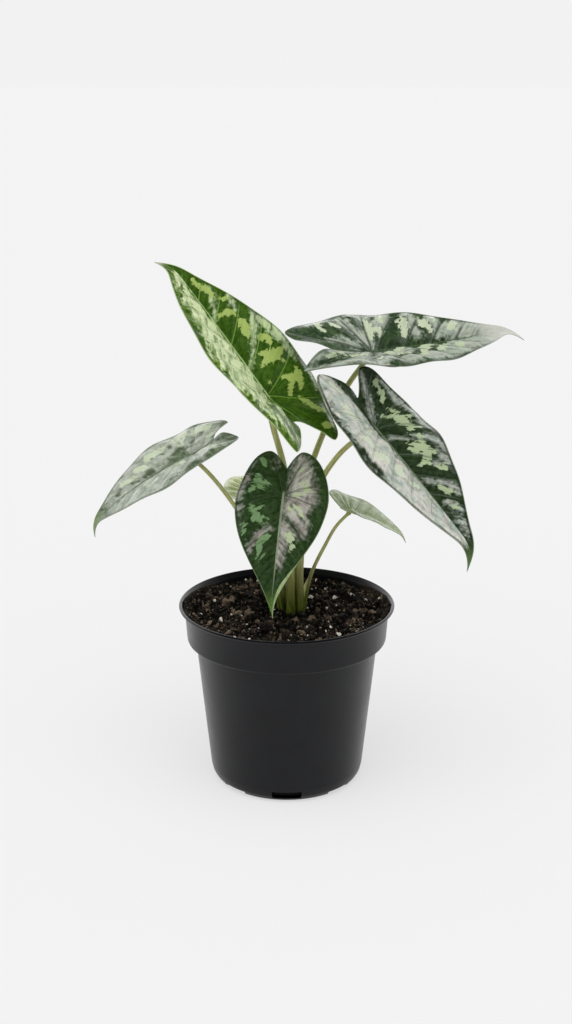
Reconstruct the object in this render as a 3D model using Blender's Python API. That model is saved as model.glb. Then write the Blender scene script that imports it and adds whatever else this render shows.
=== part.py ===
"""Potted alocasia: a tuft of seven arrow-shaped leaves in a 12 cm nursery pot.

Metres, +Z up. The origin is the centre of the pot's underside, and the front of the plant faces -Y.
Sizes below are in millimetres and degrees, and a leaf's proportions are fractions of its length,
which runs from the place where its stalk joins the blade to the tip.
"""

import math

import bpy
import numpy as np
from mathutils import Matrix, Vector, noise

MM = 0.001
GAP = 0.3
SIDES = 48

# Pot: pairs are a radius and a height
POT_HEIGHT = 102.6
POT_WALL = 1.2
FLOOR_THICKNESS = 1.8
FOOT_RADIUS = 38.3
FOOT_BEND = ((40.9, 1.4), (42.5, 4.0))
BODY_BOTTOM = (43.3, 7.7)
BODY_TOP = (50.8, 80.8)
STEP_BEND = (55.1, 82.2)
BAND_BOTTOM = (55.7, 83.1)
BAND_TOP = (56.9, 100.4)
LIP_RADIUS = 60.0
LIP_BEND = ((59.3, 100.8), (60.0, 101.5), (60.0, 102.1), (59.4, 102.6), (58.4, 102.5), (56.6, 101.4))
DRAIN_SLOTS = 8
DRAIN_SLOT_ANGLE = 22.0
DRAIN_SLOT_HEIGHT = 3.0
DRAIN_SLOT_INNER_RADIUS = 33.0

# Soil and the rootstock in it
SOIL_EDGE_HEIGHT = 97.2
SOIL_MOUND = 1.2
SOIL_MOUND_RADII = (12.0, 50.0)
SOIL_LUMP = 1.3
SOIL_LUMP_SIZE = 6.0
SOIL_CRUMB_SIZE = 3.1
SOIL_RING_RADII = (14, 20, 26, 32, 38, 44, 50)
CROWN = (2.8, 0.3)
HOLE_RADIUS = 10.9
HOLE_FLOOR = 62.0
HOLE_SIDES = 24
ROOTSTOCK_TOP = 91.0

# Blade section, and the rows and columns of points over it
BLADE_THICKNESS = 0.75
RIB_HEIGHT = 0.9
RIB_SHARE = 0.12
COLUMNS = (0.0, RIB_SHARE, 0.38, 0.68, 1.0)
LOBE_ROWS = (0.14, 0.34, 0.56, 0.76, 0.9, 0.97, 1.0)
JOINED_ROWS = (0.0, 0.34, 0.67)
FRONT_ROWS = 15
FRONT_CROWDING = 1.25

# Outline shared by all leaves: the roundness of the lobes, and the narrow end of the tip
LOBE_POWERS = (2.1, 0.52)
TIP_WIDTH = 0.012
LIFT_SHARE = 0.4
HOOK_START = 0.78
MIDRIB_SAMPLES = 240

# Each leaf: the pair values are for its left and right half, seen from above with the tip ahead
LEAVES = {
    "a": dict(
        at=(-10.4, 0.0, 220.2), azimuth=143.5, rise=45, roll=-1.5, length=105,
        lobe=(0.4, 0.395), sinus=0.2, notch=(0.67, 0.57), spread=(0.8, 0.4),
        wide=(0.29, 0.312), taper=(1.37, 1.75), shoulder=1.63, belly=0.48,
        fold=(27, 27), lobe_fold=(28, 27), curl=-19, bend=6.5, lobe_bend=-40,
        sweep=7, twist=22, hook=30, hook_sweep=-20, wave=0.008, waves=2.6, phase=0.1,
        bulge=(0.02, -0.065), arch=(0.033, -0.019), droop=(0.112, 0.088),
    ),
    "b": dict(
        at=(46.7, 22.0, 239.9), azimuth=27.5, rise=-0.5, roll=18, length=103,
        lobe=(0.445, 0.415), sinus=0.245, notch=(0.53, 0.4), spread=(0.59, 0.5),
        wide=(0.287, 0.286), taper=(1.87, 1.5), shoulder=1.63, belly=0.37,
        fold=(22.5, 22.5), lobe_fold=(15.5, 44), curl=-17.5, bend=-7, lobe_bend=-24,
        sweep=-5.5, twist=-15.5, hook=35, hook_sweep=37.5, wave=0.011, waves=2.6, phase=0.35,
        bulge=(0, 0.005), arch=(0.016, -0.022), droop=(0.075, 0.197),
    ),
    "c": dict(
        at=(46.9, -18.0, 206.2), azimuth=-52, rise=-31, roll=0, length=98,
        lobe=(0.378, 0.373), sinus=0.208, notch=(0.36, 0.51), spread=(0.36, 0.67),
        wide=(0.276, 0.284), taper=(1.79, 1.66), shoulder=1.73, belly=0.41,
        fold=(26, 23), lobe_fold=(38, 11.5), curl=-20.5, bend=4, lobe_bend=-42,
        sweep=-0.5, twist=-22.5, hook=45, hook_sweep=36, wave=0.012, waves=2.8, phase=0.6,
        bulge=(-0.023, 0.015), arch=(-0.035, 0.018), droop=(0.039, 0.044),
    ),
    "d": dict(
        at=(-51.4, -12.0, 190.3), azimuth=184.5, rise=-25.5, roll=-15, length=74,
        lobe=(0.35, 0.34), sinus=0.205, notch=(0.42, 0.83), spread=(0.45, 0.36),
        wide=(0.289, 0.28), taper=(1.67, 1.82), shoulder=1.73, belly=0.42,
        fold=(14.5, 19.5), lobe_fold=(17.5, 18.5), curl=-13.5, bend=25, lobe_bend=-32,
        sweep=5, twist=18, hook=45, hook_sweep=-20.5, wave=0.012, waves=2.4, phase=0.2,
        bulge=(0.017, -0.038), arch=(0.024, 0.004), droop=(0.118, 0.068),
    ),
    "e": dict(
        at=(-1.8, -31.0, 173.4), azimuth=-98.5, rise=-43.5, roll=2, length=68,
        lobe=(0.39, 0.395), sinus=0.245, notch=(0.6, 0.6), spread=(0.32, 0.393),
        wide=(0.357, 0.365), taper=(1.99, 1.81), shoulder=1.73, belly=0.45,
        fold=(12.5, 12), lobe_fold=(13.5, 13), curl=-21, bend=13.5, lobe_bend=3.5,
        sweep=1, twist=-4, hook=13, hook_sweep=-9, wave=0.010, waves=2.5, phase=0.8,
        bulge=(0, 0), arch=(0, 0), droop=(0, 0),
    ),
    "f": dict(
        at=(34.7, -2.0, 156.2), azimuth=41, rise=-24, roll=20, length=49,
        lobe=(0.31, 0.31), sinus=0.16, notch=(0.7, 0.7), spread=(0.5, 0.57),
        wide=(0.272, 0.28), taper=(1.3, 1.45), shoulder=1.67, belly=0.33,
        fold=(24, 21), lobe_fold=(28, 25.5), curl=-10, bend=7, lobe_bend=-6.5,
        sweep=12, twist=-14, hook=29, hook_sweep=15, wave=0.010, waves=2.0, phase=0.5,
        bulge=(0, 0), arch=(0, 0), droop=(0, 0),
    ),
    "g": dict(
        at=(-19.6, 22.0, 159.0), azimuth=91, rise=4, roll=8, length=45,
        lobe=(0.42, 0.42), sinus=0.2, notch=(0.6, 0.6), spread=(0.5, 0.5),
        wide=(0.36, 0.36), taper=(1.5, 1.5), shoulder=1.7, belly=0.3,
        fold=(12, 12), lobe_fold=(12, 12), curl=-10, bend=12, lobe_bend=-5,
        sweep=0, twist=0, hook=20, hook_sweep=0, wave=0.010, waves=2.0, phase=0.3,
        bulge=(0, 0), arch=(0, 0), droop=(0, 0),
    ),
}

# Each stalk: its foot on the rootstock, the points it passes, and its radius at foot, middle and top
STALKS = {
    "a": dict(
        foot=(2.0, 0.8), radii=(2.6, 2.05, 1.5),
        via=((1.3, 1.5, 149.9), (-1.8, 2.5, 181.0), (-7.6, 3.0, 203.2)),
    ),
    "b": dict(
        foot=(5.0, 6.0), radii=(2.5, 1.95, 1.4),
        via=((8.4, 8.5, 159.5), (19.9, 13.0, 195.7), (34.5, 18.5, 223.6)),
    ),
    "c": dict(
        foot=(7.4, -2.9), radii=(2.5, 1.8, 1.3),
        via=((11.6, -5.0, 154.8), (21.1, -8.0, 179.9), (33.1, -12.0, 195.9)),
    ),
    "d": dict(
        foot=(-3.2, -1.8), radii=(2.2, 1.3, 1.1),
        via=((-15.7, -4.0, 137.3), (-29.2, -7.0, 162.1), (-42.0, -10.0, 180.0)),
    ),
    "e": dict(
        foot=(2.3, -5.6), radii=(2.3, 1.5, 1.2),
        via=((2.8, -10.0, 125.0), (1.0, -21.0, 158.0)),
    ),
    "f": dict(
        foot=(9.6, 2.9), radii=(1.7, 1.1, 0.9),
        via=((13.5, 2.4, 117.6), (21.2, 1.0, 135.6), (27.5, -0.5, 147.5)),
    ),
    "g": dict(
        foot=(-1.0, 6.2), radii=(2.0, 1.1, 0.9),
        via=((-4.0, 11.5, 122.0), (-11.0, 18.0, 139.0)),
    ),
}
STALK_SIDES = 8
STALK_STEPS = 4
STALK_RISE = 99.0
SHEATH_HEIGHT = 26.0

# The old leaf base that stands out like a wing beside the foot of one stalk
WINGED_STALK = "f"
WING_AZIMUTH = 150.0
WING_WIDTH = 1.6
WING_HEIGHT = 17.0
WING_START = 3.0


def smoothstep(low, high, value):
    t = np.clip((value - low) / (high - low), 0.0, 1.0)
    return t * t * (3.0 - 2.0 * t)


def leaf_axes(leaf):
    """The leaf's side, forward and normal directions, as the columns of a matrix."""
    azimuth, rise = math.radians(leaf["azimuth"]), math.radians(leaf["rise"])
    level = math.cos(rise)
    forward = Vector((level * math.cos(azimuth), level * math.sin(azimuth), math.sin(rise)))
    side = Vector((math.sin(azimuth), -math.cos(azimuth), 0.0))
    side = Matrix.Rotation(math.radians(leaf["roll"]), 3, forward) @ side
    return Matrix((side, forward, side.cross(forward))).transposed()


def margins(leaf, half, along):
    """Distance of the inner and the outer margin from the midrib, at each place along the leaf."""
    wide, lobe, belly = leaf["wide"][half], leaf["lobe"][half], leaf["belly"]
    ahead = np.clip(along, 0.0, 1.0)
    front = wide * (1 - ahead ** leaf["shoulder"]) ** leaf["taper"][half] * (1 + belly * ahead)
    front = front + TIP_WIDTH * np.sqrt(1 - ahead) * smoothstep(0.0, 0.6, ahead)
    back = np.clip(-along / lobe, 0.0, 1.0)
    tip = wide * leaf["spread"][half]
    rounding = (1 - back ** LOBE_POWERS[0]) ** LOBE_POWERS[1]
    outer = tip + (wide - tip) * rounding * (1 - belly * lobe * back)
    parting = leaf["sinus"] / lobe
    parted = np.clip((back - parting) / (1 - parting), 0.0, 1.0)
    inner = tip * (1 - (1 - parted) ** leaf["notch"][half]) - leaf["bulge"][half] * np.sin(np.pi * parted)
    behind = along < 0
    return np.where(behind, inner, 0.0), np.where(behind, outer, front)


def midrib(leaf):
    """Finely sampled midrib: place along it, point, side direction and normal, for a length of one."""
    reach = sum(leaf["lobe"]) / 2
    along = np.linspace(-1.3 * reach, 1.0, MIDRIB_SAMPLES)
    back, ahead = np.clip(-along / reach, 0.0, 1.2), np.clip(along, 0.0, 1.0)
    tip = smoothstep(HOOK_START, 1.0, ahead)
    pitch = np.radians(leaf["lobe_bend"] * back - leaf["bend"] * ahead - leaf["hook"] * tip)
    yaw = np.radians(leaf["sweep"] * ahead + leaf["hook_sweep"] * tip)
    twist = np.radians(leaf["twist"] * ahead)
    heading = np.stack([np.sin(yaw) * np.cos(pitch), np.cos(yaw) * np.cos(pitch), np.sin(pitch)], 1)
    steps = (heading[1:] + heading[:-1]) / 2 * np.diff(along)[:, None]
    points = np.vstack([np.zeros(3), np.cumsum(steps, axis=0)])
    points -= [np.interp(0.0, along, points[:, axis]) for axis in range(3)]
    level = np.stack([np.cos(yaw), -np.sin(yaw), np.zeros_like(yaw)], 1)
    upright = np.cross(level, heading)
    side = level * np.cos(twist)[:, None] + upright * np.sin(twist)[:, None]
    normal = upright * np.cos(twist)[:, None] - level * np.sin(twist)[:, None]
    return along, points, side, normal


def at_places(places, samples, values):
    return np.stack([np.interp(places, samples, values[:, axis]) for axis in range(3)], -1)


def blade_points(leaf, half, along, across):
    """Points of the blade's upper face in the leaf's own axes, for a length of one."""
    samples, points, side, normal = midrib(leaf)
    lobe_share = smoothstep(0.0, sum(leaf["lobe"]) / 2, -along)
    fold = leaf["fold"][half] * (1 - lobe_share) + leaf["lobe_fold"][half] * lobe_share
    start = np.radians(fold * (1 - 0.4 * smoothstep(0.5, 1.0, along)))
    rate = math.radians(leaf["curl"]) / leaf["wide"][half]
    out = (np.sin(start + rate * across) - np.sin(start)) / rate
    up = (np.cos(start) - np.cos(start + rate * across)) / rate
    ripple = np.sin(2 * np.pi * (leaf["waves"] * along + leaf["phase"] + 0.37 * half))
    up = up + leaf["wave"] * (across / leaf["wide"][half]) ** 2 * ripple
    back = np.clip(-along / leaf["lobe"][half], 0.0, 1.0)
    lift = leaf["arch"][half] * np.sin(np.pi * back) - leaf["droop"][half] * back**2
    up = up + lift * smoothstep(0.0, LIFT_SHARE * leaf["wide"][half], across)
    out = out if half else -out
    found = at_places(along, samples, points)
    found = found + at_places(along, samples, side) * out[..., None]
    return found + at_places(along, samples, normal) * up[..., None]


def half_rows(leaf, half):
    """Rows of one half from its lobe's tip to the leaf's tip, and the number of rows not joined."""
    lobe, sinus = leaf["lobe"][half], leaf["sinus"]
    parted = [-(sinus + (lobe - sinus) * share) for share in reversed(LOBE_ROWS)]
    joined = [-sinus * (1 - share) for share in JOINED_ROWS]
    front = [1 - (1 - row / FRONT_ROWS) ** FRONT_CROWDING for row in range(FRONT_ROWS + 1)]
    rows = []
    for along in parted + joined + front:
        inner, outer = margins(leaf, half, np.array(along))
        across = inner + (outer - inner) * np.array(COLUMNS)
        if along == parted[0]:
            across = np.array([outer])
        elif along == front[-1]:
            across = np.zeros(1)
        rows.append((along, blade_points(leaf, half, np.full(len(across), along), across)))
    return rows, len(parted)


def triangles_between(row, following):
    """Triangles between two rows of vertex numbers, either of which may be a single point."""
    if len(row) == 1:
        return [(row[0], following[i + 1], following[i]) for i in range(len(following) - 1)]
    if len(following) == 1:
        return [(row[i], row[i + 1], following[0]) for i in range(len(row) - 1)]
    faces = []
    for i in range(len(row) - 1):
        faces.append((row[i], row[i + 1], following[i + 1]))
        faces.append((row[i], following[i + 1], following[i]))
    return faces


def upper_face(leaf):
    """Vertices, triangles and depth of material below each vertex, of the blade's upper face."""
    points, faces, depth, shared = [], [], [], {}
    for half in (0, 1):
        rows, parted = half_rows(leaf, half)
        numbers = []
        for index, (along, places) in enumerate(rows):
            on_midrib = index >= parted
            row = [shared[along]] if on_midrib and along in shared else []
            for place in places[len(row):]:
                rib = RIB_HEIGHT * (1 - max(along, 0.0)) ** 0.8 if on_midrib and not row else 0.0
                row.append(len(points))
                points.append(place)
                depth.append(BLADE_THICKNESS + rib)
            if on_midrib:
                shared[along] = row[0]
            numbers.append(row)
        for row, following in zip(numbers, numbers[1:]):
            found = triangles_between(row, following)
            faces += found if half else [face[::-1] for face in found]
    return np.array(points) * leaf["length"], np.array(faces), np.array(depth)


def vertex_normals(points, faces):
    corners = points[faces]
    face_normals = np.cross(corners[:, 1] - corners[:, 0], corners[:, 2] - corners[:, 0])
    normals = np.zeros_like(points)
    for corner in range(3):
        np.add.at(normals, faces[:, corner], face_normals)
    return normals / np.linalg.norm(normals, axis=1, keepdims=True)


def closed_sheet(points, faces, depth):
    """The upper face, the same triangles turned over below it, and a rim between the two."""
    under = points - vertex_normals(points, faces) * depth[:, None]
    count = len(points)
    edges = {(a, b) for face in faces.tolist() for a, b in zip(face, face[1:] + face[:1])}
    rim = []
    for a, b in sorted(edges):
        if (b, a) not in edges:
            rim.append((b, a, a + count))
            rim.append((b, a + count, b + count))
    below = faces[:, ::-1] + count
    return np.vstack([points, under]), faces.tolist() + below.tolist() + rim


def lathe(profile, sides=SIDES):
    """A solid turned about Z from (radius, height) pairs, which run up the outside and back in."""
    points, faces, rings = [], [], []
    for radius, height in profile:
        count = 1 if radius == 0 else sides
        rings.append([len(points) + i for i in range(count)])
        for i in range(count):
            angle = 2 * math.pi * (i + 0.5) / sides
            points.append((radius * math.cos(angle), radius * math.sin(angle), height))
    for lower, upper in zip(rings, rings[1:]):
        for i in range(sides):
            following = (i + 1) % sides
            if len(lower) == 1:
                faces.append((lower[0], upper[following], upper[i]))
            elif len(upper) == 1:
                faces.append((lower[i], lower[following], upper[0]))
            else:
                faces.append((lower[i], lower[following], upper[following], upper[i]))
    return points, faces


def add_object(name, points, faces, colour, roughness, sharp_angle=35.0):
    """A named object with its own material, from points in millimetres."""
    mesh = bpy.data.meshes.new(name)
    mesh.from_pydata([tuple(float(value) * MM for value in point) for point in points], [], faces)
    mesh.shade_smooth()
    mesh.set_sharp_from_angle(angle=math.radians(sharp_angle))
    material = bpy.data.materials.new(name)
    material.use_nodes = True
    shader = material.node_tree.nodes["Principled BSDF"]
    shader.inputs["Base Color"].default_value = (*colour, 1.0)
    shader.inputs["Roughness"].default_value = roughness
    shader.inputs["Metallic"].default_value = 0.0
    material.diffuse_color = (*colour, 1.0)
    mesh.materials.append(material)
    made = bpy.data.objects.new(name, mesh)
    bpy.context.scene.collection.objects.link(made)
    return made


def cut(target, cutter):
    cutter.hide_render = True
    cutter.display_type = "WIRE"
    boolean = target.modifiers.new(cutter.name, "BOOLEAN")
    boolean.operation = "DIFFERENCE"
    boolean.solver = "EXACT"
    boolean.object = cutter


def pot_inside():
    """The pot's inner profile from the lip down to the floor."""
    return [
        (BAND_TOP[0] - POT_WALL, BAND_TOP[1]),
        (BAND_BOTTOM[0] - POT_WALL, BAND_BOTTOM[1] + 0.6),
        (BODY_TOP[0] - POT_WALL, BODY_TOP[1] + 0.8),
        (BODY_BOTTOM[0] - POT_WALL, BODY_BOTTOM[1] + 0.3),
        (BODY_BOTTOM[0] - 2 * POT_WALL, FLOOR_THICKNESS + 2.4),
        (FOOT_RADIUS - 0.4, FLOOR_THICKNESS),
    ]


def wall_inside(height):
    """Radius of the pot's inner face at a height."""
    profile = pot_inside()[::-1]
    heights = [point[1] for point in profile]
    radii = [point[0] for point in profile]
    return float(np.interp(height, heights, radii))


def add_pot():
    foot = [(0.0, 0.0), (FOOT_RADIUS, 0.0), *FOOT_BEND]
    side = [BODY_BOTTOM, BODY_TOP, STEP_BEND, BAND_BOTTOM, BAND_TOP]
    profile = foot + side + list(LIP_BEND) + pot_inside() + [(0.0, FLOOR_THICKNESS)]
    pot = add_object("pot", *lathe(profile), (0.016, 0.016, 0.018), 0.45)
    inner, outer = DRAIN_SLOT_INNER_RADIUS, LIP_RADIUS
    slope = math.tan(math.radians(DRAIN_SLOT_ANGLE / 2))
    plan = [(inner, -inner * slope), (outer, -outer * slope), (outer, outer * slope), (inner, inner * slope)]
    corners = [(x, y, z) for z in (-5.0, DRAIN_SLOT_HEIGHT) for x, y in plan]
    sides = [(0, 3, 2, 1), (4, 5, 6, 7), (0, 1, 5, 4), (1, 2, 6, 5), (2, 3, 7, 6), (3, 0, 4, 7)]
    for index in range(DRAIN_SLOTS):
        cutter = add_object(f"drain_cutter_{index}", corners, sides, (0.5, 0.5, 0.5), 0.5)
        cutter.rotation_euler.z = 2 * math.pi * index / DRAIN_SLOTS - math.pi / 2
        cut(pot, cutter)


def soil_height(x, y):
    mound = SOIL_MOUND * (1 - smoothstep(*SOIL_MOUND_RADII, math.hypot(x, y)))
    lumps = noise.noise(Vector((x, y, 3.0)) / SOIL_LUMP_SIZE)
    crumbs = noise.noise(Vector((x, y, 9.0)) / SOIL_CRUMB_SIZE)
    return float(SOIL_EDGE_HEIGHT + mound + SOIL_LUMP * (lumps + 0.5 * crumbs))


def add_soil():
    walls = [(radius - GAP, height) for radius, height in pot_inside()[::-1] if height < SOIL_EDGE_HEIGHT]
    bottom = (walls[0][0] - GAP, FLOOR_THICKNESS + GAP)
    edge = (wall_inside(SOIL_EDGE_HEIGHT) - GAP, SOIL_EDGE_HEIGHT)
    rings = [(radius, SOIL_EDGE_HEIGHT) for radius in reversed(SOIL_RING_RADII)]
    profile = [(0.0, bottom[1]), bottom, *walls[1:], edge, *rings, (0.0, SOIL_EDGE_HEIGHT)]
    points, faces = lathe(profile)
    points = [(x, y, soil_height(x, y) if z == SOIL_EDGE_HEIGHT else z) for x, y, z in points]
    soil = add_object("soil", points, faces, (0.035, 0.022, 0.014), 0.95)
    hole = [(0.0, HOLE_FLOOR), (HOLE_RADIUS, HOLE_FLOOR), (HOLE_RADIUS, POT_HEIGHT), (0.0, POT_HEIGHT)]
    cutter = add_object("crown_cutter", *lathe(hole, HOLE_SIDES), (0.5, 0.5, 0.5), 0.5)
    cutter.location = (CROWN[0] * MM, CROWN[1] * MM, 0.0)
    cut(soil, cutter)


def add_rootstock():
    radius = HOLE_RADIUS - GAP
    foot = HOLE_FLOOR + GAP
    profile = [
        (0.0, foot),
        (radius * 0.55, foot + 0.3),
        (radius * 0.86, foot + 3.0),
        (radius, foot + 8.0),
        (radius, ROOTSTOCK_TOP - 5.0),
        (radius * 0.96, ROOTSTOCK_TOP),
        (0.0, ROOTSTOCK_TOP),
    ]
    rootstock = add_object("rootstock", *lathe(profile, HOLE_SIDES), (0.16, 0.09, 0.05), 0.8)
    rootstock.location = (CROWN[0] * MM, CROWN[1] * MM, 0.0)


def spline(points):
    """A smooth line through the points, with equal steps between each two."""
    ahead = [(b - a).normalized() for a, b in zip(points, points[1:])]
    lengths = [(b - a).length for a, b in zip(points, points[1:])]
    headings = [ahead[0]]
    for i in range(1, len(points) - 1):
        headings.append((ahead[i - 1] * lengths[i] + ahead[i] * lengths[i - 1]).normalized())
    headings.append(ahead[-1])
    found = []
    for i, length in enumerate(lengths):
        for step in range(STALK_STEPS):
            t = step / STALK_STEPS
            found.append(
                points[i] * (2 * t**3 - 3 * t**2 + 1)
                + headings[i] * length * (t**3 - 2 * t**2 + t)
                + points[i + 1] * (3 * t**2 - 2 * t**3)
                + headings[i + 1] * length * (t**3 - t**2)
            )
    return found + [points[-1]]


def stalk_radius(radii, share, height):
    """Radius at a share of the stalk's length. Its foot is thickened by the sheath around it."""
    foot, middle, top = radii
    slender = middle + (top - middle) * share
    return float(slender + (foot - middle) * (1 - smoothstep(0.0, SHEATH_HEIGHT, height)))


def wing_reach(name, outward, height):
    """How far the wing of an old leaf base stands out from the stalk in a direction."""
    if name != WINGED_STALK:
        return 0.0
    azimuth = math.radians(WING_AZIMUTH)
    facing = max(0.0, outward.dot(Vector((math.cos(azimuth), math.sin(azimuth), 0.0)))) ** 3
    return WING_WIDTH * facing * max(0.0, 1 - height / WING_HEIGHT) * smoothstep(0.0, WING_START, height)


def stalk_directions(line, end_normal):
    """Direction of the stalk at each point. The last ones turn square to the blade."""
    found = [Vector((0.0, 0.0, 1.0))]
    for behind, ahead in zip(line, line[2:]):
        found.append((ahead - behind).normalized())
    found[-1] = (found[-1] + end_normal * 0.5).normalized()
    return found + [end_normal]


def stalk_rings(name, end, end_normal):
    """Rings of points up the stalk. The last one lies flat under the blade."""
    stalk = STALKS[name]
    x, y = stalk["foot"]
    start = [Vector((x, y, ROOTSTOCK_TOP + GAP)), Vector((x, y, STALK_RISE))]
    line = spline(start + [Vector(point) for point in stalk["via"]] + [end])
    rings = []
    for index, (centre, direction) in enumerate(zip(line, stalk_directions(line, end_normal))):
        right = Vector((0.0, 1.0, 0.0)).cross(direction).normalized()
        up = direction.cross(right)
        height = centre.z - ROOTSTOCK_TOP
        radius = stalk_radius(stalk["radii"], index / (len(line) - 1), height)
        ring = []
        for side in range(STALK_SIDES):
            angle = 2 * math.pi * side / STALK_SIDES
            outward = right * math.cos(angle) + up * math.sin(angle)
            ring.append(centre + outward * (radius + wing_reach(name, outward, height)))
        rings.append(ring)
    return rings


def add_stalk(name, leaf):
    normal = leaf_axes(leaf) @ Vector((0.0, 0.0, 1.0))
    end = Vector(leaf["at"]) - normal * (BLADE_THICKNESS + RIB_HEIGHT + GAP)
    rings = stalk_rings(name, end, normal)
    points = [point for ring in rings for point in ring]
    top = (len(rings) - 1) * STALK_SIDES
    faces = [tuple(reversed(range(STALK_SIDES))), tuple(range(top, top + STALK_SIDES))]
    for low in range(0, top, STALK_SIDES):
        high = low + STALK_SIDES
        for side in range(STALK_SIDES):
            following = (side + 1) % STALK_SIDES
            faces.append((low + side, low + following, high + following, high + side))
    add_object(f"petiole_{name}", points, faces, (0.17, 0.19, 0.06), 0.5, 60.0)


def add_blade(name, leaf):
    points, faces = closed_sheet(*upper_face(leaf))
    blade = add_object(f"blade_{name}", points, faces, (0.05, 0.12, 0.04), 0.35, 60.0)
    blade.matrix_world = Matrix.Translation(Vector(leaf["at"]) * MM) @ leaf_axes(leaf).to_4x4()


def main():
    for old in list(bpy.data.objects):
        bpy.data.objects.remove(old, do_unlink=True)
    add_pot()
    add_soil()
    add_rootstock()
    for name, leaf in LEAVES.items():
        add_stalk(name, leaf)
        add_blade(name, leaf)


main()
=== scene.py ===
"""Looks of the potted alocasia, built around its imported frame.

Metres, +Z up, the plant's front towards -Y, as in the part's source. Sizes are written in millimetres
and degrees, and the proportions of a leaf are fractions of its length, from its stalk to its tip.
"""

import math
import random

import bmesh
import bpy
import numpy as np
from mathutils import Matrix, Vector, noise


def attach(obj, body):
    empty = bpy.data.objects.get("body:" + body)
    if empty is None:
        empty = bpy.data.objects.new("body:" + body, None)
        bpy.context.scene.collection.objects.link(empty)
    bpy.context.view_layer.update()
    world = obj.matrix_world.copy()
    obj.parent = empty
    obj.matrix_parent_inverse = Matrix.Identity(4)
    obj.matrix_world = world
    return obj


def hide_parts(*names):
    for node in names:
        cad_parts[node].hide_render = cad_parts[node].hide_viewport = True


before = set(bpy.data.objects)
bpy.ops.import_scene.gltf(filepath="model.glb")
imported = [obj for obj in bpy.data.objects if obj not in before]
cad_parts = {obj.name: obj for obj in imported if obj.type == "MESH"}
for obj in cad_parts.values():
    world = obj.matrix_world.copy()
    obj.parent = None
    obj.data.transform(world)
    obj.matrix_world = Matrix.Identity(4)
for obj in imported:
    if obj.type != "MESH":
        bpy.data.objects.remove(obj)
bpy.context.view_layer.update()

MM = 0.001

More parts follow.
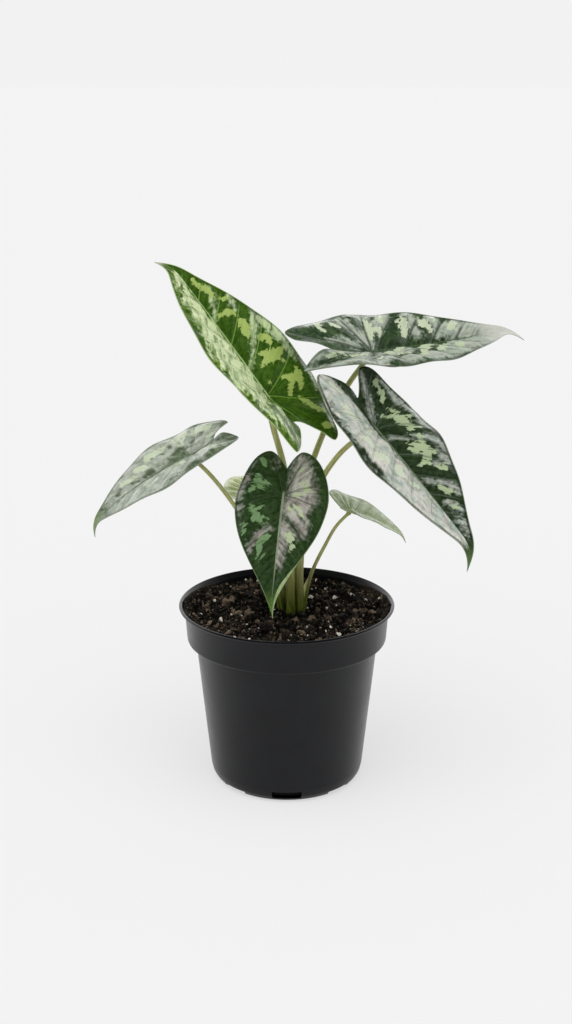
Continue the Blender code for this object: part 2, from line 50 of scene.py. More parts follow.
# Outline and form of the leaves, as in the part's source
TIP_WIDTH = 0.012
LIFT_SHARE = 0.4
LOBE_POWERS = (2.1, 0.52)
HOOK_START = 0.78
MIDRIB_SAMPLES = 400
LEAVES = {
    "a": dict(
        at=(-10.4, 0.0, 220.2), azimuth=143.5, rise=45, roll=-1.5, length=105,
        lobe=(0.4, 0.395), sinus=0.2, notch=(0.67, 0.57), spread=(0.8, 0.4),
        wide=(0.29, 0.312), taper=(1.37, 1.75), shoulder=1.63, belly=0.48,
        fold=(27, 27), lobe_fold=(28, 27), curl=-19, bend=6.5, lobe_bend=-40,
        sweep=7, twist=22, hook=30, hook_sweep=-20, wave=0.008, waves=2.6, phase=0.1,
        bulge=(0.02, -0.065), arch=(0.033, -0.019), droop=(0.112, 0.088),
    ),
    "b": dict(
        at=(46.7, 22.0, 239.9), azimuth=27.5, rise=-0.5, roll=18, length=103,
        lobe=(0.445, 0.415), sinus=0.245, notch=(0.53, 0.4), spread=(0.59, 0.5),
        wide=(0.287, 0.286), taper=(1.87, 1.5), shoulder=1.63, belly=0.37,
        fold=(22.5, 22.5), lobe_fold=(15.5, 44), curl=-17.5, bend=-7, lobe_bend=-24,
        sweep=-5.5, twist=-15.5, hook=35, hook_sweep=37.5, wave=0.011, waves=2.6, phase=0.35,
        bulge=(0, 0.005), arch=(0.016, -0.022), droop=(0.075, 0.197),
    ),
    "c": dict(
        at=(46.9, -18.0, 206.2), azimuth=-52, rise=-31, roll=0, length=98,
        lobe=(0.378, 0.373), sinus=0.208, notch=(0.36, 0.51), spread=(0.36, 0.67),
        wide=(0.276, 0.284), taper=(1.79, 1.66), shoulder=1.73, belly=0.41,
        fold=(26, 23), lobe_fold=(38, 11.5), curl=-20.5, bend=4, lobe_bend=-42,
        sweep=-0.5, twist=-22.5, hook=45, hook_sweep=36, wave=0.012, waves=2.8, phase=0.6,
        bulge=(-0.023, 0.015), arch=(-0.035, 0.018), droop=(0.039, 0.044),
    ),
    "d": dict(
        at=(-51.4, -12.0, 190.3), azimuth=184.5, rise=-25.5, roll=-15, length=74,
        lobe=(0.35, 0.34), sinus=0.205, notch=(0.42, 0.83), spread=(0.45, 0.36),
        wide=(0.289, 0.28), taper=(1.67, 1.82), shoulder=1.73, belly=0.42,
        fold=(14.5, 19.5), lobe_fold=(17.5, 18.5), curl=-13.5, bend=25, lobe_bend=-32,
        sweep=5, twist=18, hook=45, hook_sweep=-20.5, wave=0.012, waves=2.4, phase=0.2,
        bulge=(0.017, -0.038), arch=(0.024, 0.004), droop=(0.118, 0.068),
    ),
    "e": dict(
        at=(-1.8, -31.0, 173.4), azimuth=-98.5, rise=-43.5, roll=2, length=68,
        lobe=(0.39, 0.395), sinus=0.245, notch=(0.6, 0.6), spread=(0.32, 0.393),
        wide=(0.357, 0.365), taper=(1.99, 1.81), shoulder=1.73, belly=0.45,
        fold=(12.5, 12), lobe_fold=(13.5, 13), curl=-21, bend=13.5, lobe_bend=3.5,
        sweep=1, twist=-4, hook=13, hook_sweep=-9, wave=0.010, waves=2.5, phase=0.8,
        bulge=(0, 0), arch=(0, 0), droop=(0, 0),
    ),
    "f": dict(
        at=(34.7, -2.0, 156.2), azimuth=41, rise=-24, roll=20, length=49,
        lobe=(0.31, 0.31), sinus=0.16, notch=(0.7, 0.7), spread=(0.5, 0.57),
        wide=(0.272, 0.28), taper=(1.3, 1.45), shoulder=1.67, belly=0.33,
        fold=(24, 21), lobe_fold=(28, 25.5), curl=-10, bend=7, lobe_bend=-6.5,
        sweep=12, twist=-14, hook=29, hook_sweep=15, wave=0.010, waves=2.0, phase=0.5,
        bulge=(0, 0), arch=(0, 0), droop=(0, 0),
    ),
    "g": dict(
        at=(-19.6, 22.0, 159.0), azimuth=91, rise=4, roll=8, length=45,
        lobe=(0.42, 0.42), sinus=0.2, notch=(0.6, 0.6), spread=(0.5, 0.5),
        wide=(0.36, 0.36), taper=(1.5, 1.5), shoulder=1.7, belly=0.3,
        fold=(12, 12), lobe_fold=(12, 12), curl=-10, bend=12, lobe_bend=-5,
        sweep=0, twist=0, hook=20, hook_sweep=0, wave=0.010, waves=2.0, phase=0.3,
        bulge=(0, 0), arch=(0, 0), droop=(0, 0),
    ),
}

# How the side veins run: forward and bent with distance from the midrib, and fanning out in the lobes
VEIN_SLANT = 0.65
VEIN_BEND = 0.9
VEIN_SPREAD = 0.75
LOBE_VEIN_SHARE = 0.3

# Where the side veins leave the midrib, in percent of the leaf's length. Below zero is behind the stalk
VEINS = {
    "a": ((-58, -36, -10, 6, 20, 34, 48, 62), (-58, -37, -6, 15.5, 33, 48, 64)),
    "b": ((-56, -33, -16, 3, 20, 37, 53, 67), (-58, -34, -12, 4, 20, 36, 52, 68)),
    "c": ((-54, -36, -10, 6, 20, 36, 50, 63), (-58, -36, -12, 4, 20, 36, 53, 70)),
    "d": ((-56, -34, -10, 8, 24, 42, 58), (-58, -34, -12, 4, 20, 38, 56)),
    "e": ((-54, -30, -10, 16, 38, 58), (-56, -34, -12, 20, 40, 58)),
    "f": ((-50, -30, -10, 6, 22, 38, 54),) * 2,
    "g": ((-50, -30, -10, 10, 30, 50),) * 2,
}

# Strokes on both halves of each leaf: percent along it, percent out to the margin, radius in millimetres
LIGHT_STROKES = {
    "a": (
        (
            ((72, 35, 1.2), (66, 35, 1.6), (60, 42, 2)), ((54, 28, 2), (47, 20, 2.2)),
            ((43, 50, 2), (37, 36, 2.4)), ((31, 56, 2.6), (26, 30, 2.2)), ((20, 30, 2.2), (16, 60, 2.2)),
            ((9, 34, 2.4), (2, 56, 2.2)), ((-5, 60, 1.6),), ((-18, 42, 0.6), (-26, 48, 0.6)),
        ),
        (
            ((76, 55, 0.9), (71, 50, 1.5), (66, 58, 1.7), (62, 50, 1.1)), ((58, 66, 1.4), (56.5, 78, 1.2)),
            ((50.5, 22, 1.2), (50, 40, 2), (48, 55, 1.2)), ((43, 53, 1.4), (38, 46, 2.3), (34, 36, 2)),
            ((30, 54, 1.3), (28, 64, 2.2), (25, 62, 1.6)),
            ((15, 24, 1.2), (16.5, 36, 2.2), (18, 50, 2.8), (18, 64, 2.4), (19, 75, 1)),
            ((21, 36, 1.3), (18, 45, 1.6)), ((16, 58, 1.6), (13, 62, 1)),
            ((6, 74, 1), (3, 70, 2), (-1, 66, 1.9), (-5, 62, 1.4)),
            ((4.5, 45, 1.3), (2, 55, 2), (1, 66, 1.6)), ((1, 50, 1.2), (-3, 42, 1.3), (-6, 36, 0.9)),
            ((-10, 52, 1.2), (-13, 60, 1.6), (-17, 66, 1.6), (-21, 76, 1.8), (-23, 86, 1)),
            ((-31, 75, 1.8), (-33, 88, 1.3)), ((5, 17, 0.8),),
        ),
    ),
    "b": (
        (
            ((-26, 86, 0.6), (-25, 74, 1), (-24, 60, 0.7)), ((-17, 72, 1), (-14, 60, 1)),
            ((5, 80, 1.4), (5, 62, 2), (4, 45, 2), (3, 30, 1)), ((6, 50, 1.8), (11, 48, 1.8), (10, 36, 1)),
            ((14, 76, 1.6), (17, 86, 1)), ((28, 76, 1.2), (26, 56, 2.8), (23, 30, 1.2)), ((24, 66, 1.4),),
            ((37, 74, 1.2), (38, 58, 2.4), (40, 42, 1.4)), ((46, 84, 1.2),),
            ((52, 44, 1), (55, 55, 1.8), (57, 70, 1)),
        ),
        (
            ((-14, 30, 1), (-10, 30, 1.2)), ((2, 36, 1), (8, 30, 1.4), (15, 20, 1)),
            ((22, 20, 1), (28, 25, 1.6), (33, 20, 1.8), (39, 12, 1)), ((8, 50, 1), (14, 42, 1)),
            ((42, 25, 1.2), (38, 40, 1.4), (35, 52, 1)), ((-29, 24, 0.2), (-26, 20, 0.3)),
            ((-22, 14, 0.3), (-17, 20, 0.5), (-14, 34, 0.4)), ((-5, 60, 0.8),),
            ((23, 55, 1.2), (20, 65, 1)), ((50, 45, 1.2), (47, 60, 1)),
        ),
    ),
    "c": (
        (
            ((-28, 76, 1.2), (-24, 70, 1.5), (-19, 64, 1.6), (-14, 52, 0.9)),
            ((-6, 30, 0.9), (-3, 42, 1.8), (1, 52, 2.3), (5, 60, 2.8), (9, 62, 2.2)),
            ((9, 62, 2), (12, 74, 1)), ((-9, 58, 0.9), (-4, 60, 1.8)), ((9, 56, 1.8), (12, 48, 0.9)),
            ((2, 72, 1.4),), ((17, 32, 1), (21, 42, 2), (25, 50, 2.8), (29, 55, 2.4), (31, 66, 1.2)),
            ((16, 60, 0.9), (20, 57, 1.6), (24, 52, 2.2)), ((21, 27, 0.9), (24, 36, 1.6)),
            ((29, 48, 2), (33, 45, 1.4), (36, 44, 0.8)), ((34, 24, 1.4), (33, 36, 1.3)),
            ((40, 58, 1.4), (42, 70, 1.4)), ((39, 74, 1),), ((50, 34, 1), (53, 46, 1.4), (56, 58, 1.2)),
            ((62, 40, 1), (65, 55, 1.1)),
        ),
        (
            ((-13, 60, 1.8), (-7, 52, 2.2)), ((9, 66, 1.8), (13, 60, 2.2)), ((21, 62, 2.2), (26, 50, 2)),
            ((31, 34, 2.2), (36, 46, 2.4)), ((42, 36, 1.8), (45, 28, 1.2)), ((55, 30, 1.4),),
            ((-30, 62, 1.2), (-24, 50, 1)), ((2, 30, 1.6), (5, 42, 1.2)),
        ),
    ),
    "d": (
        (
            ((34, 52, 1.3), (29, 45, 1.5)), ((12, 30, 1), (6, 35, 1.2)), ((-10, 35, 1), (-20, 50, 1.2)),
            ((46, 50, 1),),
        ),
        (
            ((31, 62, 1.3), (26, 60, 2), (21, 60, 1.7), (17, 66, 1.2)),
            ((8, 75, 1.4), (3, 78, 1.8), (-2, 75, 1.4)), ((40, 50, 1.2), (35, 42, 1.7)),
            ((55, 50, 1), (50, 45, 1.5), (45, 40, 1.2)), ((3, 50, 1.2), (0, 62, 1)),
            ((-10, 70, 1.9), (-16, 66, 2), (-21, 62, 1.2)), ((-20, 25, 1.1), (-26, 40, 1)),
        ),
    ),
    "e": (
        (
            ((-7, 50, 1.7), (-3, 56, 1.2)), ((13, 25, 1), (14, 40, 0.8)), ((18, 50, 1.1), (20, 36, 0.8)),
            ((36, 28, 1.6), (39, 36, 1.2)), ((-22, 45, 1),), ((46, 40, 0.8), (44, 50, 0.8)),
            ((2, 30, 0.9), (-2, 40, 0.9)),
        ),
        (
            ((-31, 70, 0.8), (-28, 64, 1.1), (-25, 58, 1.1), (-22, 52, 0.8)),
            ((-15, 68, 0.8), (-11, 60, 1.5), (-7, 54, 1.9), (-5, 48, 1.2)), ((-9, 52, 1.2), (-9, 36, 0.6)),
            ((-4, 66, 1), (-2, 70, 0.7)),
            ((11, 64, 0.8), (14, 58, 1.5), (18, 54, 1.8), (22, 48, 1.8), (24, 42, 1)),
            ((14, 52, 1.2), (13, 36, 0.6)), ((21, 44, 1.2), (21, 31, 0.6)), ((24, 42, 1), (25, 30, 0.6)),
            ((28, 80, 1), (33, 86, 1.2)), ((37, 28, 1), (39, 42, 1.4), (41, 50, 1)),
            ((45, 55, 0.7), (50, 50, 1), (53, 52, 1.2)), ((53, 54, 0.9), (55, 64, 0.6)),
        ),
    ),
    "f": ((((30, 50, 0.8),), ((10, 50, 0.8),)),) * 2,
    "g": ((((30, 50, 0.8),), ((10, 50, 0.8),)),) * 2,
}
# Silver strokes: partly the leaf's silvery variegation and partly painted reflection, the sheen its gloss
# throws back
SILVER_AND_SHEEN_STROKES = {
    "a": (
        (
            ((84, 30, 1), (70, 38, 3.2), (55, 40, 5.6), (45, 42, 7.4),
            (35, 46, 9.2), (25, 48, 10.4), (15, 50, 11.4), (4, 52, 11)), ((-2, 60, 7), (-10, 70, 2.6)),
            ((-10, 35, 1.3), (-20, 42, 1.4), (-32, 55, 1.1)),
            ((-10, 75, 1.1), (-22, 80, 1.2), (-33, 78, 0.8)),
        ),
        (
            ((17, 6, 0.5), (24, 25, 1.1), (31, 45, 1.7), (36, 62, 2.2), (41, 80, 2.2)),
            ((50, 7, 0.6), (57, 30, 1.2), (62, 50, 1.3), (68, 66, 0.9)),
            ((49, 62, 1.2), (54, 76, 2), (58, 88, 1.5)),
            ((43, 86, 1.6), (35, 87, 2.4), (27, 87, 2.9), (20, 87, 2.5), (12, 88, 1.6)),
            ((30, 78, 1.2), (24, 82, 1.5)), ((2, 94, 0.8), (-10, 95, 0.7)),
        ),
    ),
    "b": (
        (
            ((0, 10, 0.8), (-3, 35, 1.4), (-7, 60, 1.8), (-10, 86, 1.8)), ((2, 15, 0.8), (0, 42, 1.2)),
            ((10, 60, 2), (16, 78, 2.4), (20, 92, 1.8)), ((6, 90, 1.4), (-2, 94, 1)),
            ((31, 86, 1.8), (33, 70, 2), (31, 32, 2.2)), ((44, 80, 2), (46, 55, 2.6), (44, 28, 1.6)),
            ((50, 40, 4), (60, 45, 4.8), (75, 50, 4.4), (92, 50, 3)), ((-30, 90, 0.5), (-20, 92, 0.6)),
            ((-24, 30, 0.4), (-16, 24, 0.8), (-8, 14, 0.8)),
        ),
        (
            ((34, 75, 2.4), (42, 62, 4.2), (52, 50, 5.6), (65, 50, 5), (78, 50, 4.4), (92, 50, 3)),
            ((-2, 68, 1.3), (10, 75, 1.8), (22, 74, 2.2), (34, 75, 2.4)), ((0, 40, 1), (16, 40, 1.2)),
            ((-34, 60, 1.8), (-28, 52, 1.4), (-18, 42, 1.2)), ((-16, 12, 1), (-8, 16, 1.2)),
            ((-30, 80, 1.8), (-18, 80, 2), (-6, 80, 1.6)), ((-44, 50, 2), (-38, 80, 2)),
            ((-38, 30, 1.2), (-33, 16, 0.9), (-26, 6, 0.6), (-18, 3, 0.4)),
            ((-32, 50, 1), (-22, 55, 1.8), (-8, 50, 2.2)),
        ),
    ),
    "c": (
        (
            ((-30, 95, 1), (-22, 90, 1.5), (-14, 88, 2), (-4, 89, 2.1), (5, 91, 1.8), (13, 93, 1.2)),
            ((16, 50, 0.8), (20, 70, 1.6), (24, 85, 2.2), (30, 92, 1.6)),
            ((30, 74, 1), (34, 82, 1.6), (39, 88, 1.4)), ((36, 50, 0.8), (38, 62, 1)),
            ((42, 10, 0.7), (46, 30, 1.4), (50, 52, 1.8), (54, 72, 2), (58, 88, 1.3)),
            ((60, 30, 1), (64, 50, 1.4), (68, 72, 1.2)), ((71, 40, 1), (75, 55, 1.4), (80, 60, 1.2)),
            ((-36, 42, 1.8), (-28, 40, 2), (-20, 28, 2), (-12, 16, 1.4), (-5, 6, 0.7)),
            ((10, 10, 0.8), (14, 35, 0.9)),
        ),
        (
            ((-34, 76, 3.2), (-25, 70, 5.2), (-15, 60, 7), (0, 52, 9.6),
            (15, 48, 10.4), (30, 48, 9.8), (45, 50, 9), (60, 50, 7.8), (74, 50, 5.8), (82, 50, 3.4)),
        ),
    ),
    "d": (
        (
            ((-26, 55, 2), (-15, 42, 3.2), (0, 40, 5), (15, 45, 7), (30, 50, 7.6),
            (45, 50, 6.4), (58, 48, 4.4), (68, 45, 2)),
        ),
        (
            ((-26, 62, 2.2), (-16, 55, 4.2), (-4, 60, 5), (6, 72, 5.2),
            (16, 70, 6.4), (28, 55, 7.6), (42, 52, 6.4), (56, 50, 4.8), (68, 50, 2.4)),
            ((-4, 15, 1.6), (-14, 10, 1.4)),
        ),
    ),
    "e": (
        (
            ((-31, 42, 0.9), (-25, 42, 2.2), (-16, 42, 3.8), (-5, 42, 5),
            (5, 40, 5.6), (12, 36, 5), (18, 30, 3.6)), ((22, 40, 1), (28, 52, 1.6), (33, 56, 1.2)),
            ((26, 10, 1), (32, 16, 1.8), (38, 18, 1.6), (45, 12, 1), (56, 10, 0.4)),
        ),
        (
            ((29, 20, 0.5), (33, 40, 1.3), (38, 58, 1.6), (43, 74, 1.5), (48, 84, 1)),
            ((-16, 90, 1), (-5, 92, 1.2), (4, 93, 1)), ((12, 90, 1), (16, 90, 0.8)),
            ((-36, 40, 0.9), (-30, 34, 0.7), (-25, 27, 0.5)),
        ),
    ),
    "f": ((((-20, 50, 3), (20, 50, 5), (70, 50, 3)),),) * 2,
    "g": ((((30, 50, 0.5),),),) * 2,
}
# Dark strokes: partly darker leaf tissue and partly painted shade beside the side veins
DARK_STROKES = {
    "a": (
        (
            ((50, 95, 1), (30, 95, 1)), ((-8, 10, 1.4), (-20, 16, 2), (-30, 38, 2.2)),
            ((-10, 55, 1), (-20, 62, 1.8), (-30, 68, 2.2), (-37, 75, 2)),
        ),
        (),
    ),
    "b": (
        (
            ((6, 6, 1), (14, 30, 1.2), (20, 55, 1.4), (26, 90, 1.4)), ((12, 10, 1.4), (20, 20, 1.4)),
            ((34, 62, 1), (35, 42, 1.3)), ((-2, 62, 1.2), (0, 88, 1.2)), ((4, 12, 0.9), (4, 24, 0.9)),
            ((48, 70, 0.6), (45, 40, 0.6)),
        ),
        (
            ((10, 8, 1), (25, 7, 1.2), (42, 6, 1)), ((-10, 50, 1.2), (5, 62, 1), (25, 42, 1)),
            ((-33, 36, 0.9), (-25, 34, 1.2), (-17, 34, 1.2)),
        ),
    ),
    "c": (
        (),
        (((16, 90, 1.4), (26, 86, 1.8), (33, 90, 1.2)), ((-28, 10, 1.6), (-10, 5, 1.2))),
    ),
    "d": (
        (((-15, 85, 1.3), (-5, 88, 1.4), (4, 90, 1.1)), ((-30, 50, 1.2), (-33, 70, 1.6))),
        (
            ((10, 30, 1.2), (4, 34, 1.7)), ((12, 56, 1.4),), ((18, 46, 1.5),),
            ((36, 14, 1.5), (30, 12, 1.6)), ((-4, 38, 0.8), (-13, 48, 0.9), (-22, 66, 0.8)),
            ((47, 20, 1), (42, 15, 1)), ((62, 30, 0.9), (58, 35, 0.8)), ((25, 20, 0.9),), ((-30, 60, 1.2),),
        ),
    ),
    "e": (
        (((19, 6, 0.4), (26, 30, 0.7), (33, 50, 0.9), (40, 70, 0.8)),),
        (),
    ),
    "f": ((),) * 2,
    "g": ((),) * 2,
}


def both(*colour):
    """The same colour on both halves of a leaf."""
    return colour, colour


# Colours as linear light. Pairs are for the two halves of the leaf, and more widens strokes in millimetres.
# The silver colours are partly silvery variegation and partly painted reflection, and the sheen colours are
# painted sheen
PLAIN_COLOURS = dict(
    more_light=(0, 0), more_silver=(0, 0), slant=0, vein_width=0.6, brush=(8, 8), soft=(2.2, 2.2),
    least_silver=0.7, spikes=5,
)
LEAF_COLOURS = {
    "a": dict(
        ground=((0.11, 0.21, 0.014), (0.048, 0.122, 0.001)),
        deep=((0.03, 0.08, 0.005), (0.02, 0.062, 0.0004)), light=((0.62, 0.72, 0.4), (0.35, 0.46, 0.11)),
        silver=((0.7, 0.79, 0.46), (0.44, 0.54, 0.3)), sheen=(0.48, 0.6, 0.3), vein=(0.18, 0.34, 0.05),
        rib=(0.42, 0.62, 0.24), edge=(0.42, 0.52, 0.24), tip=(0.5, 0.52, 0.38), tip_start=0.91,
        veins_shown=(0.08, 0.8), more_light=(0.3, 0.2), more_silver=(1.4, 0.2), rim_line=0.35, slant=24,
        lengthwise=(1, 0.1), vein_width=0.6, brush=(15, 3), soft=(2.2, 1.5), least_silver=0.2, spikes=4.6,
    ),
    "b": dict(
        ground=both(0.06, 0.105, 0.04), deep=((0.016, 0.036, 0.013), (0.018, 0.04, 0.015)),
        light=((0.56, 0.63, 0.44), (0.5, 0.58, 0.38)), silver=((0.46, 0.5, 0.41), (0.43, 0.46, 0.38)),
        # Leaf b's very dark vein colour is painted shade in the vein grooves
        sheen=(0.38, 0.44, 0.36), vein=(0.025, 0.045, 0.022), rib=(0.07, 0.12, 0.055),
        # Leaf b's pale tip is partly silvery colour and partly painted reflection
        edge=(0.18, 0.22, 0.15), tip=(0.55, 0.56, 0.5), tip_start=0.62, veins_shown=(0.85, 0.3),
        more_light=(0.4, 0.8), more_silver=(1.6, 2.2), rim_line=0.6, slant=12, lengthwise=(0.3, 0.8),
        vein_width=1.4, brush=(7, 9), soft=(2, 2.4), least_silver=0.6, spikes=6.5,
    ),
    "c": dict(
        ground=((0.026, 0.05, 0.017), (0.03, 0.05, 0.022)),
        deep=((0.009, 0.022, 0.005), (0.012, 0.024, 0.009)), light=((0.38, 0.47, 0.27), (0.58, 0.64, 0.48)),
        silver=((0.36, 0.37, 0.33), (0.64, 0.63, 0.57)), sheen=(0.44, 0.5, 0.43), vein=(0.09, 0.12, 0.08),
        rib=(0.14, 0.19, 0.11), edge=(0.2, 0.25, 0.16), tip=(0.1, 0.17, 0.05), tip_start=0.82,
        veins_shown=(0.6, 0.2), more_light=(0, 0.3), more_silver=(0.2, 1.8), rim_line=0.8, slant=-10,
        lengthwise=(0.15, 0.8), vein_width=0.8, brush=(5, 8), soft=(2.2, 2.4), least_silver=0.6, spikes=7,
    ),
    "d": dict(
        ground=((0.18, 0.23, 0.15), (0.18, 0.23, 0.14)), deep=((0.07, 0.1, 0.055), (0.08, 0.11, 0.06)),
        light=both(0.56, 0.63, 0.46), silver=((0.51, 0.55, 0.47), (0.52, 0.55, 0.47)),
        sheen=(0.36, 0.4, 0.34), vein=(0.15, 0.2, 0.13), rib=(0.12, 0.17, 0.1), edge=(0.26, 0.31, 0.22),
        tip=(0.16, 0.24, 0.08), tip_start=0.74, veins_shown=(0.35, 0.25), more_light=(0.5, 0.5),
        more_silver=(2.2, 2.6), rim_line=0.75, slant=8, lengthwise=(0.7, 0.8), vein_width=0.7,
        brush=(10, 10), soft=(2.2, 2.4), least_silver=0.5, spikes=5,
    ),
    "e": dict(
        ground=((0.028, 0.062, 0.014), (0.026, 0.058, 0.013)),
        deep=((0.01, 0.028, 0.005), (0.009, 0.026, 0.004)), light=((0.4, 0.48, 0.28), (0.15, 0.26, 0.11)),
        silver=((0.47, 0.46, 0.4), (0.24, 0.28, 0.22)), sheen=(0.35, 0.31, 0.29), vein=(0.045, 0.07, 0.03),
        rib=(0.22, 0.26, 0.17), edge=(0.16, 0.22, 0.1), tip=(0.08, 0.16, 0.02), tip_start=0.76,
        veins_shown=(0.6, 0.5), more_light=(0.2, 0.3), more_silver=(2.2, 0.7), rim_line=0.7, slant=10,
        lengthwise=(0.5, 0.1), vein_width=0.7, brush=(8, 4), soft=(3.6, 1.8), least_silver=0.25, spikes=9,
        turned=(1, 0), turned_colour=(0.32, 0.43, 0.19),
    ),
    "f": dict(
        PLAIN_COLOURS, ground=both(0.34, 0.43, 0.19), deep=both(0.27, 0.35, 0.15),
        light=both(0.48, 0.57, 0.32), silver=both(0.46, 0.53, 0.34), sheen=(0.38, 0.46, 0.26),
        vein=(0.48, 0.58, 0.32), rib=(0.13, 0.21, 0.06), edge=(0.16, 0.23, 0.1), tip=(0.2, 0.28, 0.1),
        tip_start=0.85, veins_shown=(0.3, 0.3), rim_line=0.4, lengthwise=(0.8, 0.8),
    ),
    "g": dict(
        PLAIN_COLOURS, ground=both(0.52, 0.6, 0.25), deep=both(0.46, 0.54, 0.21),
        light=both(0.56, 0.64, 0.3), silver=both(0.54, 0.62, 0.28), sheen=(0.5, 0.57, 0.26),
        vein=(0.58, 0.65, 0.34), rib=(0.44, 0.5, 0.26), edge=(0.44, 0.5, 0.28), tip=(0.4, 0.46, 0.22),
        tip_start=0.9, veins_shown=(0.5, 0.5), rim_line=0.2, lengthwise=(0.2, 0.2),
    ),
}

# Fine blade mesh, in rows across the leaf and columns out from the midrib
LOBE_ROWS = 36
JOINED_ROWS = 18
FRONT_ROWS = 104
COLUMNS = 38
BLADE_THICKNESS = 0.5
EDGE_THICKNESS = 0.28
RIDGE_HEIGHT = 0.4
RIDGE_WIDTH = 0.6
GROOVE_DEPTH = 0.35
GROOVE_PLACE = 1.7
GROOVE_WIDTH = 1.0
RIB_DEPTH = 1.3
RIB_WIDTH = 1.1
SIDE_RIB_DEPTH = 0.28
SIDE_RIB_WIDTH = 0.8
PUCKER = 0.13
MOST_PUCKER = 1.9
STROKE_REACH = 9.0
STROKES = dict(light=LIGHT_STROKES, silver=SILVER_AND_SHEEN_STROKES, dark=DARK_STROKES)

# Stalks, as in the part's source, with fuller sheaths at the foot
STALKS = {
    "a": dict(
        foot=(2.0, 0.8), radii=(3.2, 2.05, 1.5),
        via=((1.3, 1.5, 149.9), (-1.8, 2.5, 181.0), (-7.6, 3.0, 203.2)),
    ),
    "b": dict(
        foot=(5.0, 6.0), radii=(2.9, 1.95, 1.4),
        via=((8.4, 8.5, 159.5), (19.9, 13.0, 195.7), (34.5, 18.5, 223.6)),
    ),
    "c": dict(
        foot=(7.4, -2.9), radii=(2.9, 1.8, 1.3),
        via=((11.6, -5.0, 154.8), (21.1, -8.0, 179.9), (33.1, -12.0, 195.9)),
    ),
    "d": dict(
        foot=(-3.2, -1.8), radii=(2.4, 1.3, 1.1),
        via=((-15.7, -4.0, 137.3), (-29.2, -7.0, 162.1), (-42.0, -10.0, 180.0)),
    ),
    "e": dict(
        foot=(2.3, -5.6), radii=(3.0, 1.6, 1.2),
        via=((2.8, -10.0, 125.0), (1.0, -21.0, 158.0)),
    ),
    "f": dict(
        foot=(9.6, 2.9), radii=(1.9, 1.1, 0.9),
        via=((13.5, 2.4, 117.6), (21.2, 1.0, 135.6), (27.5, -0.5, 147.5)),
    ),
    "g": dict(
        foot=(-1.0, 6.2), radii=(2.2, 1.1, 0.9),
        via=((-4.0, 11.5, 122.0), (-11.0, 18.0, 139.0)),
    ),
}
STALK_SIDES = 28
STALK_STEPS = 20
STALK_RISE = 99.0
STALK_END_DEPTH = 0.9
STALK_RIDGES = 6
STALK_RIDGE_HEIGHT = 0.06
STALK_TOP_SWELL = 0.5
ROOTSTOCK_TOP = 91.0
SHEATH_HEIGHT = 30.0
WINGED_STALK = "f"
WING_AZIMUTH = 190.0
WING_WIDTH = 4.4
WING_HEIGHT = 25.0
WING_START = 6.0

# Pot and soil, as in the part's source
POT_SIDES = 240
POT_WALL = 1.2
FLOOR_THICKNESS = 1.8
FOOT_RADIUS = 38.3
FOOT_BEND = ((40.9, 1.4), (42.5, 4.0))
BODY_BOTTOM = (43.3, 7.7)
BODY_TOP = (50.8, 80.8)
STEP_BEND = (55.1, 82.2)
BAND_BOTTOM = (55.7, 83.1)
BAND_TOP = (56.9, 100.4)
LIP_RADIUS = 60.0
LIP_BEND = (
    (59.3, 100.8), (60.0, 101.5), (60.0, 102.1), (59.4, 102.6), (58.6, 102.5), (58.0, 101.8), (57.6, 101.2),
)
DRAIN_SLOTS = 8
DRAIN_SLOT_ANGLE = 22.0
DRAIN_SLOT_LEVELS = ((2.6, 7.0), (-1.0, 3.0))
DRAIN_SLOT_INNER_RADIUS = 33.0
BEVEL = 0.35
SHARP_ANGLE = 40
SOIL_EDGE_HEIGHT = 97.2
SOIL_MOUND = 1.2
SOIL_MOUND_RADII = (12.0, 50.0)
SOIL_SPREAD = 55.6
SOIL_BANKED_SPREAD = 1.2
SOIL_REACH = 57.5
SOIL_BANK = 4.0
SOIL_BANK_START = 48.0
SOIL_OVER_LIP = 0.3
SOIL_SLOPE_OVER_LIP = 0.45
SOIL_LUMP = 1.3
SOIL_LUMP_SIZE = 6.0
SOIL_CRUMB_SIZE = 3.1
CLOD_SIZE = 4.2
CLOD_HEIGHT = 1.6
SMALL_CLOD_SIZE = 1.7
SMALL_CLOD_HEIGHT = 0.7
ROUGH_SIZE = 2.0
ROUGH_HEIGHT = 1.2
PIT_DEPTH = 1.4
PIT_RADIUS = 13.0
PIT_WIDTH = 6.0
SOIL_SHOULDER = SOIL_EDGE_HEIGHT - 4.0
GRAIN_PROPORTIONS = (0.65, 1.3)
GRAINS = {
    "crumbs_fine": dict(seed=11, count=5200, sizes=(0.2, 0.85), stretch=(1, 1.5, 0.8), finer=False),
    "crumbs_coarse": dict(seed=13, count=480, sizes=(0.7, 2.3), stretch=(1, 1.2, 0.8), roughness=1.1),
    "bark_chips": dict(seed=17, count=260, sizes=(0.3, 0.8), stretch=(1, 3.2, 0.5), lift=0.4),
    "perlite": dict(seed=29, count=140, sizes=(0.2, 1.35), stretch=(1, 1, 0.8), roughness=0.5, lift=0.6),
}
FIBRES = 170
FIBRE_JOINTS = 7
FIBRE_LIMIT = 54.0
FIBRE_WIDTHS = (0.08, 0.2)
FIBRE_LENGTHS = (2.5, 8.0)
FIBRE_LIFT = 0.25
FIBRE_ARCH = 0.5
FIBRE_SEED = 37
SOIL_RINGS = 120
SOIL_SIDES = 320
GAP = 0.3

